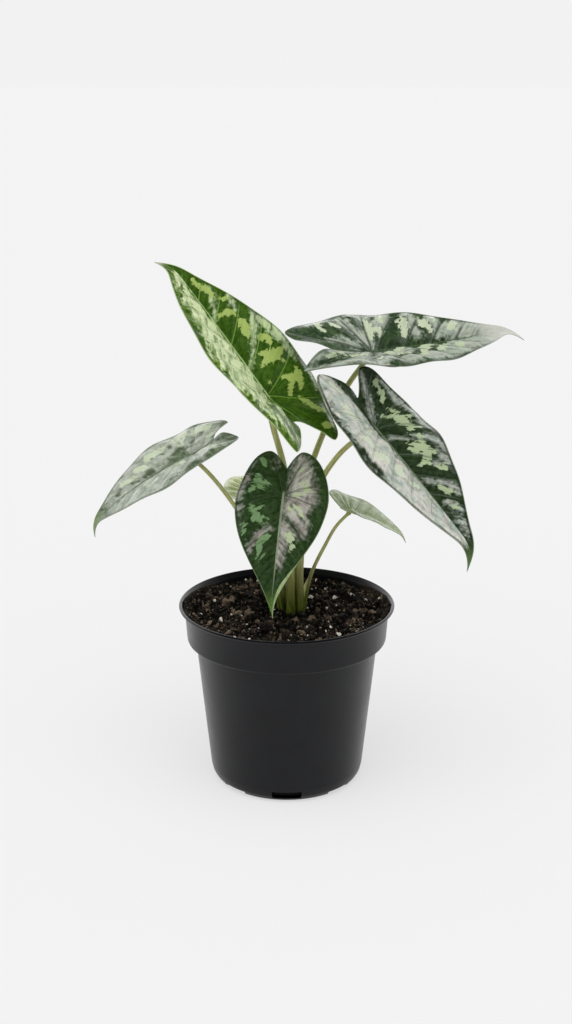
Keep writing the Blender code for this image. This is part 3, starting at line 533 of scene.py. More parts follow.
# Studio
SUNS = {
    "left": dict(azimuth=-40, elevation=52, strength=0.8, angle=60),
    "right": dict(azimuth=35, elevation=52, strength=0.65, angle=60),
    "top": dict(azimuth=-10, elevation=80, strength=0.6, angle=50),
}
CAMERA_PLACE = (-0.0004, -0.7448, 0.3827)
CAMERA_TILT = 73.0
CAMERA_LENS = 50.0
SENSOR_WIDTH = 36.0
FLOOR_REACH = 60000.0
BACKGROUND = 0.89
FLOOR_ALBEDO = 0.3
FLOOR_GLOW = 0.585
AMBIENT = 0.5
WORLD_BRIGHT = 2.0
WORLD_DIM = 0.08


def smoothstep(low, high, value):
    t = np.clip((value - low) / (high - low), 0.0, 1.0)
    return t * t * (3.0 - 2.0 * t)


# The leaf's form, as in the part's source


def leaf_axes(leaf):
    """The leaf's side, forward and normal directions, as the columns of a matrix."""
    azimuth, rise = math.radians(leaf["azimuth"]), math.radians(leaf["rise"])
    level = math.cos(rise)
    forward = Vector((level * math.cos(azimuth), level * math.sin(azimuth), math.sin(rise)))
    side = Vector((math.sin(azimuth), -math.cos(azimuth), 0.0))
    side = Matrix.Rotation(math.radians(leaf["roll"]), 3, forward) @ side
    return Matrix((side, forward, side.cross(forward))).transposed()


def margins(leaf, half, along):
    """Distance of the inner and the outer margin from the midrib, at each place along the leaf."""
    wide, lobe, belly = leaf["wide"][half], leaf["lobe"][half], leaf["belly"]
    ahead = np.clip(along, 0.0, 1.0)
    front = wide * (1 - ahead ** leaf["shoulder"]) ** leaf["taper"][half] * (1 + belly * ahead)
    front = front + TIP_WIDTH * np.sqrt(1 - ahead) * smoothstep(0.0, 0.6, ahead)
    back = np.clip(-along / lobe, 0.0, 1.0)
    tip = wide * leaf["spread"][half]
    rounding = (1 - back ** LOBE_POWERS[0]) ** LOBE_POWERS[1]
    outer = tip + (wide - tip) * rounding * (1 - belly * lobe * back)
    parting = leaf["sinus"] / lobe
    parted = np.clip((back - parting) / (1 - parting), 0.0, 1.0)
    inner = tip * (1 - (1 - parted) ** leaf["notch"][half]) - leaf["bulge"][half] * np.sin(np.pi * parted)
    behind = along < 0
    return np.where(behind, inner, 0.0), np.where(behind, outer, front)


def midrib(leaf):
    """Finely sampled midrib: place along it, point, side direction and normal, for a length of one."""
    reach = sum(leaf["lobe"]) / 2
    along = np.linspace(-1.3 * reach, 1.0, MIDRIB_SAMPLES)
    back, ahead = np.clip(-along / reach, 0.0, 1.2), np.clip(along, 0.0, 1.0)
    tip = smoothstep(HOOK_START, 1.0, ahead)
    pitch = np.radians(leaf["lobe_bend"] * back - leaf["bend"] * ahead - leaf["hook"] * tip)
    yaw = np.radians(leaf["sweep"] * ahead + leaf["hook_sweep"] * tip)
    twist = np.radians(leaf["twist"] * ahead)
    heading = np.stack([np.sin(yaw) * np.cos(pitch), np.cos(yaw) * np.cos(pitch), np.sin(pitch)], 1)
    steps = (heading[1:] + heading[:-1]) / 2 * np.diff(along)[:, None]
    points = np.vstack([np.zeros(3), np.cumsum(steps, axis=0)])
    points -= [np.interp(0.0, along, points[:, axis]) for axis in range(3)]
    level = np.stack([np.cos(yaw), -np.sin(yaw), np.zeros_like(yaw)], 1)
    upright = np.cross(level, heading)
    side = level * np.cos(twist)[:, None] + upright * np.sin(twist)[:, None]
    normal = upright * np.cos(twist)[:, None] - level * np.sin(twist)[:, None]
    return along, points, side, normal


def at_places(places, samples, values):
    return np.stack([np.interp(places, samples, values[:, axis]) for axis in range(3)], -1)


def blade_points(leaf, half, along, across):
    """Points of the blade's upper face in the leaf's own axes, for a length of one."""
    samples, points, side, normal = midrib(leaf)
    lobe_share = smoothstep(0.0, sum(leaf["lobe"]) / 2, -along)
    fold = leaf["fold"][half] * (1 - lobe_share) + leaf["lobe_fold"][half] * lobe_share
    start = np.radians(fold * (1 - 0.4 * smoothstep(0.5, 1.0, along)))
    rate = math.radians(leaf["curl"]) / leaf["wide"][half]
    out = (np.sin(start + rate * across) - np.sin(start)) / rate
    up = (np.cos(start) - np.cos(start + rate * across)) / rate
    ripple = np.sin(2 * np.pi * (leaf["waves"] * along + leaf["phase"] + 0.37 * half))
    up = up + leaf["wave"] * (across / leaf["wide"][half]) ** 2 * ripple
    back = np.clip(-along / leaf["lobe"][half], 0.0, 1.0)
    lift = leaf["arch"][half] * np.sin(np.pi * back) - leaf["droop"][half] * back**2
    up = up + lift * smoothstep(0.0, LIFT_SHARE * leaf["wide"][half], across)
    out = out if half else -out
    found = at_places(along, samples, points)
    found = found + at_places(along, samples, side) * out[..., None]
    return found + at_places(along, samples, normal) * up[..., None]


# Places on the leaf seen along its side veins


def flow(along, across):
    """Where the side vein through each place leaves the midrib, and how far out along it the place is."""
    front = (along - VEIN_SLANT * across - VEIN_BEND * across**2) / (1 + VEIN_SPREAD * across)
    angle = np.arctan2(across, along)
    first = np.arctan2(across, VEIN_SLANT * across + VEIN_BEND * across**2 + 1e-9)
    behind = -(angle - first) * LOBE_VEIN_SHARE
    start = np.where(front >= 0, front, behind)
    return start, np.hypot(across, np.where(front >= 0, along - start, along))


def vein_phase(veins, start):
    """Which side vein a place is near, as a number that is whole on each vein."""
    numbers = np.arange(len(veins), dtype=float)
    found = np.interp(start, veins, numbers)
    found = np.where(start < veins[0], (start - veins[0]) / (veins[1] - veins[0]), found)
    return np.where(start > veins[-1], numbers[-1] + (start - veins[-1]) / (veins[-1] - veins[-2]), found)


def vein_spacing(veins, along, across, length):
    """Distance between the side veins near each place, in millimetres."""
    step = 2e-3
    here = vein_phase(veins, flow(along, across)[0])
    ahead = vein_phase(veins, flow(along + step, across)[0])
    aside = vein_phase(veins, flow(along, across + step)[0])
    slope = np.hypot(ahead - here, aside - here) / step
    return length / np.maximum(slope, 1.0)


def inside_strokes(leaf, half, strokes, along, across):
    """Depth of each place inside the nearest brush stroke, in millimetres, or below zero outside."""
    length = leaf["length"]
    deepest = np.full_like(along, -STROKE_REACH)
    for stroke in strokes:
        dots = []
        for place, share, radius in stroke:
            margin = float(margins(leaf, half, np.array(place / 100))[1])
            dots.append((share / 100 * margin * length, place / 100 * length, radius))
        for (x0, y0, r0), (x1, y1, r1) in zip(dots, dots[1:] or dots):
            run, climb = x1 - x0, y1 - y0
            aside, ahead = across * length - x0, along * length - y0
            t = np.clip((aside * run + ahead * climb) / max(run**2 + climb**2, 1e-9), 0, 1)
            away = np.hypot(aside - t * run, ahead - t * climb)
            deepest = np.maximum(deepest, r0 + t * (r1 - r0) - away)
    return deepest


# Meshes


def add_mesh(name, points, faces, materials, smooth=True):
    """A mesh from points in millimetres."""
    mesh = bpy.data.meshes.new(name)
    mesh.from_pydata((np.asarray(points, float) * MM).tolist(), [], faces)
    for material in materials:
        mesh.materials.append(material)
    if smooth:
        mesh.shade_smooth()
    made = bpy.data.objects.new(name, mesh)
    bpy.context.scene.collection.objects.link(made)
    return made


def add_value(made, name, values):
    attribute = made.data.attributes.new(name, "FLOAT", "POINT")
    attribute.data.foreach_set("value", np.asarray(values, np.float32))


def add_vector(made, name, values):
    attribute = made.data.attributes.new(name, "FLOAT_VECTOR", "POINT")
    attribute.data.foreach_set("vector", np.asarray(values, np.float32).ravel())


def ring_faces(first, rings, sides):
    """Quads between rings of points that are numbered on from first."""
    faces = []
    for low in range(first, first + (rings - 1) * sides, sides):
        for side in range(sides):
            following = (side + 1) % sides
            faces.append((low + side, low + following, low + sides + following, low + sides + side))
    return faces


def finish_piece(made, slot_name, *replaced):
    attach(made, "root")
    if replaced:
        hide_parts(*replaced)


def half_grid(leaf, half):
    """Places of the points of one half, and its outer and inner margins there."""
    lobe, sinus = leaf["lobe"][half], leaf["sinus"]
    free = np.sin(np.linspace(1.0, 0.0, LOBE_ROWS, endpoint=False) * np.pi / 2)
    joined = np.linspace(1.0, 0.0, JOINED_ROWS, endpoint=False)
    front = 1 - (1 - np.linspace(0.0, 1.0, FRONT_ROWS)) ** 1.15
    rows = np.concatenate([-(sinus + (lobe - sinus) * free), -sinus * joined, front])
    inner, outer = margins(leaf, half, rows)
    share = np.linspace(0.0, 1.0, COLUMNS)
    share = 0.35 * share**2.2 + 0.65 * share
    across = inner[:, None] + (outer - inner)[:, None] * share
    across[-1] = 0.0
    spread = np.ones(COLUMNS)
    return rows[:, None] * spread, across, outer[:, None] * spread, inner[:, None] * spread


def vertex_normals(points, quads):
    normals = np.zeros_like(points)
    first = points[quads[:, 2]] - points[quads[:, 0]]
    second = points[quads[:, 3]] - points[quads[:, 1]]
    face_normals = np.cross(first, second)
    for corner in range(4):
        np.add.at(normals, quads[:, corner], face_normals)
    return normals / np.maximum(np.linalg.norm(normals, axis=1, keepdims=True), 1e-12)


def distinct(face):
    """The face with repeated corners taken out."""
    kept = [corner for i, corner in enumerate(face) if corner != face[i - 1]]
    return kept if len(kept) > 2 else None


def half_values(name, leaf, half):
    """Points of one half of the upper face, and what is painted on them."""
    along, across, outer, inner = half_grid(leaf, half)
    length = leaf["length"]
    start, out = flow(along, across)
    veins = np.array(VEINS[name][half]) / 100
    inner_edge = np.where(along < -leaf["sinus"], across - inner, 9.0)
    values = dict(
        along=along,
        across=across * length,
        edge=np.minimum(outer - across, inner_edge) * length,
        phase=vein_phase(veins, start),
        spacing=vein_spacing(veins, along, across, length),
        half=np.full_like(along, half),
        start=start * length,
        out=out * length,
    )
    for key, strokes in STROKES.items():
        values[key] = inside_strokes(leaf, half, strokes[name][half], along, across)
    return blade_points(leaf, half, along, across) * length, values


def upper_face(name, leaf):
    """Points, quads and painted values of the upper face, with the two halves joined at the midrib."""
    values, points, quads, count, shared = {}, [], [], 0, None
    for half in (0, 1):
        places, found = half_values(name, leaf, half)
        rows, columns = places.shape[:2]
        numbers = np.arange(rows * columns).reshape(rows, columns) + count
        count += rows * columns
        numbers[0, :] = numbers[0, 0]
        numbers[-1, :] = numbers[-1, 0]
        if shared is None:
            shared = numbers[LOBE_ROWS:, 0].copy()
        numbers[LOBE_ROWS:, 0] = shared
        numbers[-1, :] = shared[-1]
        points.append(places.reshape(-1, 3))
        for key, value in found.items():
            values.setdefault(key, []).append(value.ravel())
        corners = [numbers[:-1, :-1], numbers[:-1, 1:], numbers[1:, 1:], numbers[1:, :-1]]
        corners = np.stack(corners, -1).reshape(-1, 4)
        quads.append(corners if half else corners[:, ::-1])
    used, corners = np.unique(np.vstack(quads), return_inverse=True)
    values = {key: np.concatenate(value)[used] for key, value in values.items()}
    return np.vstack(points)[used], corners.reshape(-1, 4), values


def relief(leaf, values):
    """Height of the upper face over the plain form: puckers between the side veins, and the midrib."""
    phase, spacing = values["phase"], values["spacing"]
    across, edge, along = values["across"], values["edge"], values["along"]
    swell = np.minimum(PUCKER * spacing, MOST_PUCKER) * (0.5 - 0.5 * np.cos(2 * np.pi * phase)) ** 0.7
    swell = swell * smoothstep(0.3, 4.5, across) * smoothstep(0.0, 5.0, edge)
    size = np.clip(1 - np.maximum(along, 0.0), 0.0, 1.0) ** 0.6 * leaf["length"] / 100
    whole = smoothstep(-leaf["sinus"] - 0.02, -0.1, along)
    ridge = RIDGE_HEIGHT * np.exp(-((across / RIDGE_WIDTH) ** 2)) * size * whole
    groove = GROOVE_DEPTH * np.exp(-(((across - GROOVE_PLACE) / GROOVE_WIDTH) ** 2)) * size * whole
    return swell + ridge - groove


def leaf_depth(leaf, values):
    """Thickness of the blade, with the midrib and the side veins standing out below."""
    across, edge = values["across"], values["edge"]
    size = np.clip(1 - values["along"], 0.0, 1.0) ** 0.8 * leaf["length"] / 100
    size = size * smoothstep(-leaf["sinus"] - 0.02, -0.05, values["along"])
    nearest = np.abs(values["phase"] - np.round(values["phase"])) * values["spacing"]
    plain = EDGE_THICKNESS + (BLADE_THICKNESS - EDGE_THICKNESS) * smoothstep(0.0, 1.2, edge)
    side_rib = SIDE_RIB_DEPTH * np.exp(-((nearest / SIDE_RIB_WIDTH) ** 2))
    side_rib = side_rib * min(1.0, leaf["length"] / 70) ** 2 * smoothstep(0.0, 6.0, edge)
    return plain + RIB_DEPTH * np.exp(-((across / RIB_WIDTH) ** 2)) * size + side_rib


def add_leaf(name, leaf, materials):
    points, quads, values = upper_face(name, leaf)
    axes = np.array(leaf_axes(leaf))
    points = points @ axes.T + np.array(leaf["at"])
    normals = vertex_normals(points, quads)
    top = points + normals * relief(leaf, values)[:, None]
    below = top - normals * leaf_depth(leaf, values)[:, None]
    count = len(top)
    upper = [face for face in map(distinct, quads.tolist()) if face]
    edges = {(a, b) for face in upper for a, b in zip(face, face[1:] + face[:1])}
    rim = [(b, a, a + count, b + count) for a, b in sorted(edges) if (b, a) not in edges]
    lower = [[corner + count for corner in reversed(face)] for face in upper]
    made = add_mesh(f"leaf_{name}", np.vstack([top, below]), upper + lower + rim, materials)
    slots = [0] * len(upper) + [1] * len(lower) + [2] * len(rim)
    made.data.polygons.foreach_set("material_index", slots)
    for key in ("along", "across", "edge", "phase", "spacing", "light", "silver", "dark", "half"):
        add_value(made, key, np.tile(values[key], 2))
    side = np.where(values["half"] > 0.5, 1.0, -1.0)
    vein_place = np.stack([values["start"], values["out"], 40 * side], 1)
    add_vector(made, "vein_place", np.tile(vein_place, (2, 1)))
    plan = np.stack([values["across"] * side, values["along"] * leaf["length"], 0 * side], 1)
    add_vector(made, "plan", np.tile(plan, (2, 1)))
    return made


# Materials


class Nodes:
    """Short names for making and joining the nodes of a new material, or of the given world."""

    def __init__(self, name, world=None):
        self.material = None if world else bpy.data.materials.new(name)
        owner = world or self.material
        owner.use_nodes = True
        self.tree = owner.node_tree

    def put(self, socket, value):
        if isinstance(value, bpy.types.NodeSocket):
            self.tree.links.new(value, socket)
        elif isinstance(value, (int, float)):
            socket.default_value = value
        else:
            socket.default_value = (*value, 1.0) if socket.type == "RGBA" else tuple(value)

    def node(self, kind, inputs, output=0, **settings):
        """A new node with these inputs and settings, of which one output is returned."""
        made = self.tree.nodes.new(kind)
        for key, value in settings.items():
            setattr(made, key, value)
        for key, value in inputs.items():
            self.put(made.inputs[key], value)
        return made.outputs[output]

    def value(self, name, output="Fac"):
        return self.node("ShaderNodeAttribute", {}, output, attribute_name=name)

    def vector(self, name):
        return self.value(name, "Vector")

    def math(self, operation, *values):
        return self.node("ShaderNodeMath", dict(enumerate(values)), operation=operation)

    def plus(self, first, second):
        return self.math("ADD", first, second)

    def times(self, first, second):
        return self.math("MULTIPLY", first, second)

    def step(self, value, low, high, to_low=0.0, to_high=1.0):
        inputs = {"Value": value, "From Min": low, "From Max": high, "To Min": to_low, "To Max": to_high}
        return self.node("ShaderNodeMapRange", inputs, "Result", interpolation_type="SMOOTHSTEP")

    def mix(self, share, first, second, kind="RGBA"):
        return self.node("ShaderNodeMix", dict(Factor=share, A=first, B=second), "Result", data_type=kind)

    def noise(self, scale, detail=3.0, roughness=0.6, vector=None):
        """Noise over the object's own space, or over a vector that is painted on it."""
        place = self.node("ShaderNodeTexCoord", {}, "Object") if vector is None else vector
        inputs = dict(Vector=place, Scale=scale, Detail=detail, Roughness=roughness)
        return self.node("ShaderNodeTexNoise", inputs, "Fac")

    def streaks(self, vector, across, along, detail=3.0, roughness=0.6):
        """Noise that is drawn out along the vector's second axis."""
        inputs = {0: vector, 1: (across, along, 1.0)}
        drawn_out = self.node("ShaderNodeVectorMath", inputs, operation="MULTIPLY")
        return self.noise(1.0, detail, roughness, drawn_out)

    def swing(self, noise, size):
        """The noise about zero, from minus to plus half the size at most."""
        return self.times(self.math("SUBTRACT", noise, 0.5), size)

    def bump(self, height, distance, strength=1.0, under=None):
        inputs = dict(Height=height, Distance=distance, Strength=strength)
        if under is not None:
            inputs["Normal"] = under
        return self.node("ShaderNodeBump", inputs, "Normal")

    def finish(self, colour, roughness, normal=None, specular=0.5):
        inputs = {"Base Color": colour, "Roughness": roughness, "Specular IOR Level": specular}
        if normal is not None:
            inputs["Normal"] = normal
        for key, value in inputs.items():
            self.put(self.tree.nodes["Principled BSDF"].inputs[key], value)
        return self.material


def vein_line(nodes, width):
    """One on the side veins, fading over a width in millimetres and towards the margin."""
    phase = nodes.value("phase")
    off = nodes.math("ABSOLUTE", nodes.math("SUBTRACT", phase, nodes.math("ROUND", phase)))
    line = nodes.step(nodes.times(off, nodes.value("spacing")), 0.0, width, 1.0, 0.0)
    return nodes.times(line, nodes.step(nodes.value("edge"), 0.5, 8.0))


def blend(share, first, second):
    return [(1 - share) * a + share * b for a, b in zip(first, second)]


def upper_material(name, colours):
    nodes = Nodes(f"leaf_{name}_upper")
    place, plan = nodes.vector("vein_place"), nodes.vector("plan")
    edge, across, along, half = map(nodes.value, ("edge", "across", "along", "half"))
    deep, ground, light_colour, silver_and_sheen_colour = (
        nodes.mix(half, *colours[key]) for key in ("deep", "ground", "light", "silver")
    )

    def by_half(key):
        return nodes.step(half, 0.0, 1.0, *colours[key])

    # Noise that breaks the strokes up, across and along the side veins
    streaks = nodes.streaks(place, 0.34, 0.07, 3.0, 0.55)
    spikes = nodes.streaks(place, 0.46, 0.13, 2.0, 0.5)
    slanted = dict(Vector=plan, Angle=math.radians(colours["slant"]))
    slanted = nodes.node("ShaderNodeVectorRotate", slanted, rotation_type="Z_AXIS")
    grain = nodes.mix(by_half("lengthwise"), streaks, nodes.streaks(slanted, 0.4, 0.085), "FLOAT")
    spots, patches = nodes.noise(0.42, vector=plan), nodes.noise(0.13, vector=plan)

    # How much of each colour shows
    ragged = nodes.plus(nodes.swing(spikes, colours["spikes"]), nodes.swing(spots, 4.8))
    light = nodes.plus(nodes.plus(nodes.value("light"), by_half("more_light")), ragged)
    light = nodes.times(nodes.step(light, -0.45, 0.45), nodes.step(across, 0.6, 1.2))
    # Silver: partly silvery variegation and partly painted reflection, with a second painted sheen colour
    # in patches
    brushed = nodes.plus(nodes.times(nodes.swing(grain, 1.0), by_half("brush")), nodes.swing(spots, 7.0))
    depth = nodes.plus(nodes.plus(nodes.value("silver"), by_half("more_silver")), brushed)
    dark = nodes.step(nodes.plus(nodes.value("dark"), nodes.swing(spikes, 4.0)), -1.2, 1.2)
    silver = nodes.step(nodes.math("DIVIDE", depth, by_half("soft")), -0.9, 1.1)
    silver = nodes.times(silver, nodes.math("SUBTRACT", 1.0, dark))
    tone = nodes.step(grain, 0.34, 0.58, colours["least_silver"], 1.0)
    tone = nodes.times(tone, nodes.step(spots, 0.3, 0.5, 0.8, 1.0))
    sheen = nodes.mix(nodes.step(patches, 0.4, 0.6), silver_and_sheen_colour, colours["sheen"])

    # Ground, silver that is partly silvery variegation and partly painted reflection, light blotches and
    # veins
    colour = nodes.mix(nodes.step(nodes.mix(0.55, streaks, spots, "FLOAT"), 0.38, 0.62), deep, ground)
    # Dark strokes: partly darker tissue and partly painted shade beside the veins
    colour = nodes.mix(nodes.times(dark, 0.8), colour, deep)
    colour = nodes.mix(nodes.times(silver, tone), colour, sheen)
    colour = nodes.mix(nodes.times(light, nodes.step(streaks, 0.25, 0.5, 0.8, 0.97)), colour, light_colour)
    veins = nodes.times(vein_line(nodes, colours["vein_width"]), by_half("veins_shown"))
    colour = nodes.mix(veins, colour, colours["vein"])

    # Midrib, margin and tip
    rib_width = nodes.step(along, 0.0, 0.9, 0.8, 0.3)
    rib = nodes.step(nodes.math("DIVIDE", across, rib_width), 0.55, 1.0, 1.0, 0.0)
    rib = nodes.times(rib, nodes.step(along, -0.06, 0.0))
    rib = nodes.times(rib, nodes.step(along, 0.55, 0.85, 1.0, 0.3))
    colour = nodes.mix(rib, colour, colours["rib"])
    # A thin dark line just inside the margin: painted shade along the margin's undulations
    inner_line = nodes.times(nodes.step(edge, 0.35, 0.7), nodes.step(edge, 0.9, 1.7, 1.0, 0.0))
    colour = nodes.mix(nodes.times(inner_line, colours["rim_line"]), colour, deep)
    colour = nodes.mix(nodes.step(edge, 0.2, 0.6, 0.85, 0.0), colour, colours["edge"])
    tip_start = colours["tip_start"]
    colour = nodes.mix(nodes.step(along, tip_start, min(1.0, tip_start + 0.2)), colour, colours["tip"])
    if "turned" in colours:
        width = nodes.times(nodes.step(along, 0.5, 0.74, 0.0, 2.1), nodes.step(along, 0.76, 0.94, 1.0, 0.3))
        inside = nodes.math("SUBTRACT", edge, nodes.times(width, by_half("turned")))
        pale = colours["turned_colour"]
        pale = nodes.mix(nodes.step(streaks, 0.4, 0.6), pale, blend(0.35, pale, colours["deep"][1]))
        colour = nodes.mix(nodes.step(inside, -0.4, 0.1, 0.9, 0.0), colour, pale)

    normal = nodes.bump(nodes.streaks(place, 1.6, 0.12), 0.0003, 0.7)
    normal = nodes.bump(nodes.noise(3.0, 2.0, 0.6, plan), 0.00008, 0.5, normal)
    normal = nodes.bump(vein_line(nodes, 1.0), -0.0004, 0.9, normal)
    return nodes.finish(colour, nodes.step(streaks, 0.3, 0.7, 0.22, 0.32), normal, specular=0.4)


def lower_material(name, colours):
    nodes = Nodes(f"leaf_{name}_under")
    ground, light = colours["ground"][0], colours["light"][0]
    streaks = nodes.streaks(nodes.vector("vein_place"), 0.5, 0.1)
    colour = nodes.mix(streaks, blend(0.3, ground, light), blend(0.45, ground, light))
    colour = nodes.mix(nodes.times(vein_line(nodes, 0.8), 0.45), colour, light)
    colour = nodes.mix(nodes.step(nodes.value("across"), 0.8, 1.5, 0.9, 0.0), colour, light)
    return nodes.finish(colour, 0.5, nodes.bump(nodes.noise(2.0, vector=nodes.vector("plan")), 0.0001, 0.6))


def rim_material(name, colours):
    nodes = Nodes(f"leaf_{name}_rim")
    speckle = nodes.noise(0.6, 2.0, 0.5, nodes.vector("plan"))
    edge = colours["edge"]
    return nodes.finish(nodes.mix(speckle, blend(0.5, edge, colours["ground"][0]), edge), 0.45)


def stalk_material():
    nodes = Nodes("stalk")
    place, height = nodes.vector("stalk_place"), nodes.value("height")
    streaks, mottle = nodes.streaks(place, 0.9, 0.06, 4.0), nodes.streaks(place, 0.45, 0.2)
    colour = nodes.mix(nodes.step(streaks, 0.36, 0.6), (0.5, 0.52, 0.19), (0.3, 0.3, 0.1))
    colour = nodes.mix(nodes.step(mottle, 0.5, 0.7, 0.0, 0.6), colour, (0.56, 0.58, 0.28))
    green = nodes.mix(nodes.step(streaks, 0.42, 0.6), (0.036, 0.05, 0.002), (0.12, 0.155, 0.01))
    colour = nodes.mix(nodes.step(height, 8.0, 44.0, 1.0, 0.0), colour, green)
    # Painted light: the wing is coloured very pale to stand for the front light falling on the sheath
    colour = nodes.mix(nodes.step(nodes.value("wing"), 0.0, 0.5, 0.0, 0.85), colour, (0.8, 0.76, 0.36))
    colour = nodes.mix(nodes.step(height, 5.0, 11.0, 0.85, 0.0), colour, (0.025, 0.022, 0.009))
    return nodes.finish(colour, 0.42, nodes.bump(streaks, 0.0002, 0.6), specular=0.4)


def pot_material():
    nodes = Nodes("pot_plastic")
    cloud, dust = nodes.noise(60.0, 4.0), nodes.noise(420.0, 4.0, 0.7)
    colour = nodes.mix(nodes.step(cloud, 0.3, 0.7), (0.002, 0.0023, 0.0034), (0.004, 0.0045, 0.0062))
    colour = nodes.mix(nodes.step(dust, 0.66, 0.82, 0.0, 0.15), colour, (0.06, 0.058, 0.056))
    normal = nodes.bump(nodes.noise(2600.0, 2.0, 0.5), 0.00004, 0.5)
    return nodes.finish(colour, nodes.step(cloud, 0.3, 0.7, 0.27, 0.33), normal, specular=0.24)


def soil_colour(nodes, brown, pale):
    """Pale and dry in patches, and browner, with fewer pale patches, around the stalks."""
    patch_share = nodes.step(nodes.value("radius"), 12.0, 32.0, 0.3, 1.0)
    return nodes.mix(nodes.times(nodes.step(nodes.noise(75.0), 0.32, 0.58), patch_share), brown, pale)


def soil_material():
    nodes = Nodes("soil")
    fine = nodes.noise(1400.0, 4.0, 0.7)
    pale = soil_colour(nodes, (0.05, 0.036, 0.025), (0.21, 0.155, 0.108))
    pale = nodes.mix(nodes.step(fine, 0.5, 0.72), (0.01, 0.007, 0.005), pale)
    # Painted shade: the soil darkens to near black where it lies below its plain level, in the hollows
    # between clods
    colour = nodes.mix(nodes.step(nodes.value("rise"), -0.6, 1.4), (0.002, 0.0016, 0.0012), pale)
    return nodes.finish(colour, 0.9, nodes.bump(fine, 0.0006), specular=0.2)


def crumb_material():
    nodes = Nodes("crumbs")
    fine = nodes.noise(1500.0, 4.0, 0.7)
    pale = soil_colour(nodes, (0.11, 0.076, 0.05), (0.38, 0.28, 0.195))
    colour = nodes.mix(nodes.step(nodes.value("tone"), 0.5, 1.0), (0.007, 0.0055, 0.0042), pale)
    colour = nodes.mix(nodes.step(fine, 0.35, 0.6, 0.75, 0.0), colour, (0.004, 0.003, 0.002))
    return nodes.finish(colour, 0.85, nodes.bump(fine, 0.0007), specular=0.25)


def perlite_material():
    nodes = Nodes("perlite")
    colour = nodes.mix(nodes.step(nodes.noise(500.0), 0.35, 0.6), (0.6, 0.53, 0.43), (0.9, 0.87, 0.8))
    return nodes.finish(colour, 0.85, nodes.bump(nodes.noise(3000.0), 0.0002, 0.8))


def fibre_material():
    nodes = Nodes("fibres")
    return nodes.finish(nodes.mix(nodes.noise(700.0), (0.09, 0.055, 0.03), (0.26, 0.17, 0.1)), 0.8)


def root_material():
    nodes = Nodes("rootstock")
    rings = nodes.noise(300.0, 4.0)
    colour = nodes.mix(rings, (0.08, 0.045, 0.025), (0.2, 0.12, 0.07))
    return nodes.finish(colour, 0.8, nodes.bump(rings, 0.0004))


# Stalks


def spline(points):
    """A smooth line through the points, with equal steps between each two."""
    ahead = [(b - a).normalized() for a, b in zip(points, points[1:])]
    lengths = [(b - a).length for a, b in zip(points, points[1:])]
    headings = [ahead[0]]
    for i in range(1, len(points) - 1):
        headings.append((ahead[i - 1] * lengths[i] + ahead[i] * lengths[i - 1]).normalized())
    headings.append(ahead[-1])
    found = []
    for i, length in enumerate(lengths):
        for step in range(STALK_STEPS):
            t = step / STALK_STEPS
            found.append(
                points[i] * (2 * t**3 - 3 * t**2 + 1)
                + headings[i] * length * (t**3 - 2 * t**2 + t)
                + points[i + 1] * (3 * t**2 - 2 * t**3)
                + headings[i + 1] * length * (t**3 - t**2)
            )
    return found + [points[-1]]


def stalk_radius(radii, share, height):
    foot, middle, top = radii
    slender = middle + (top - middle) * share
    return float(slender + (foot - middle) * (1 - smoothstep(0.0, SHEATH_HEIGHT, height)))


def wing_reach(name, outward, height):
    if name != WINGED_STALK:
        return 0.0
    azimuth = math.radians(WING_AZIMUTH)
    facing = max(0.0, outward.dot(Vector((math.cos(azimuth), math.sin(azimuth), 0.0)))) ** 3
    return WING_WIDTH * facing * max(0.0, 1 - height / WING_HEIGHT) * smoothstep(0.0, WING_START, height)


def add_stalk(name, leaf, material):
    stalk = STALKS[name]
    normal = leaf_axes(leaf) @ Vector((0.0, 0.0, 1.0))
    end = Vector(leaf["at"]) - normal * STALK_END_DEPTH
    x, y = stalk["foot"]
    start = [Vector((x, y, ROOTSTOCK_TOP + GAP)), Vector((x, y, STALK_RISE))]
    line = spline(start + [Vector(point) for point in stalk["via"]] + [end])
    points, places, heights, wings = [], [], [], []
    travelled = 0.0
    for index, centre in enumerate(line):
        ahead, behind = line[min(index + 1, len(line) - 1)], line[max(index - 1, 0)]
        direction = (ahead - behind).normalized()
        travelled += (centre - behind).length if index else 0.0
        right = Vector((0.0, 1.0, 0.0)).cross(direction).normalized()
        up = direction.cross(right)
        height = centre.z - ROOTSTOCK_TOP
        share = index / (len(line) - 1)
        swell = STALK_TOP_SWELL * smoothstep(0.95, 1.0, share)
        radius = stalk_radius(stalk["radii"], share, height) + swell
        for side in range(STALK_SIDES):
            angle = 2 * math.pi * side / STALK_SIDES
            outward = right * math.cos(angle) + up * math.sin(angle)
            ridge = STALK_RIDGE_HEIGHT * radius * math.cos(STALK_RIDGES * angle) * (1 - share)
            wings.append(wing_reach(name, outward, height))
            points.append(centre + outward * (radius + ridge + wings[-1]))
            around = 4.4 * radius * math.sin(angle / 2)
            places.append((around, travelled, ord(name) * 7.0 + math.cos(angle)))
            heights.append(height)
    top = len(points) - STALK_SIDES
    faces = [tuple(reversed(range(STALK_SIDES))), tuple(range(top, top + STALK_SIDES))]
    faces += ring_faces(0, len(line), STALK_SIDES)
    made = add_mesh(f"stalk_{name}", [tuple(point) for point in points], faces, [material])
    add_vector(made, "stalk_place", places)
    add_value(made, "height", heights)
    add_value(made, "wing", wings)
    return made


# Pot


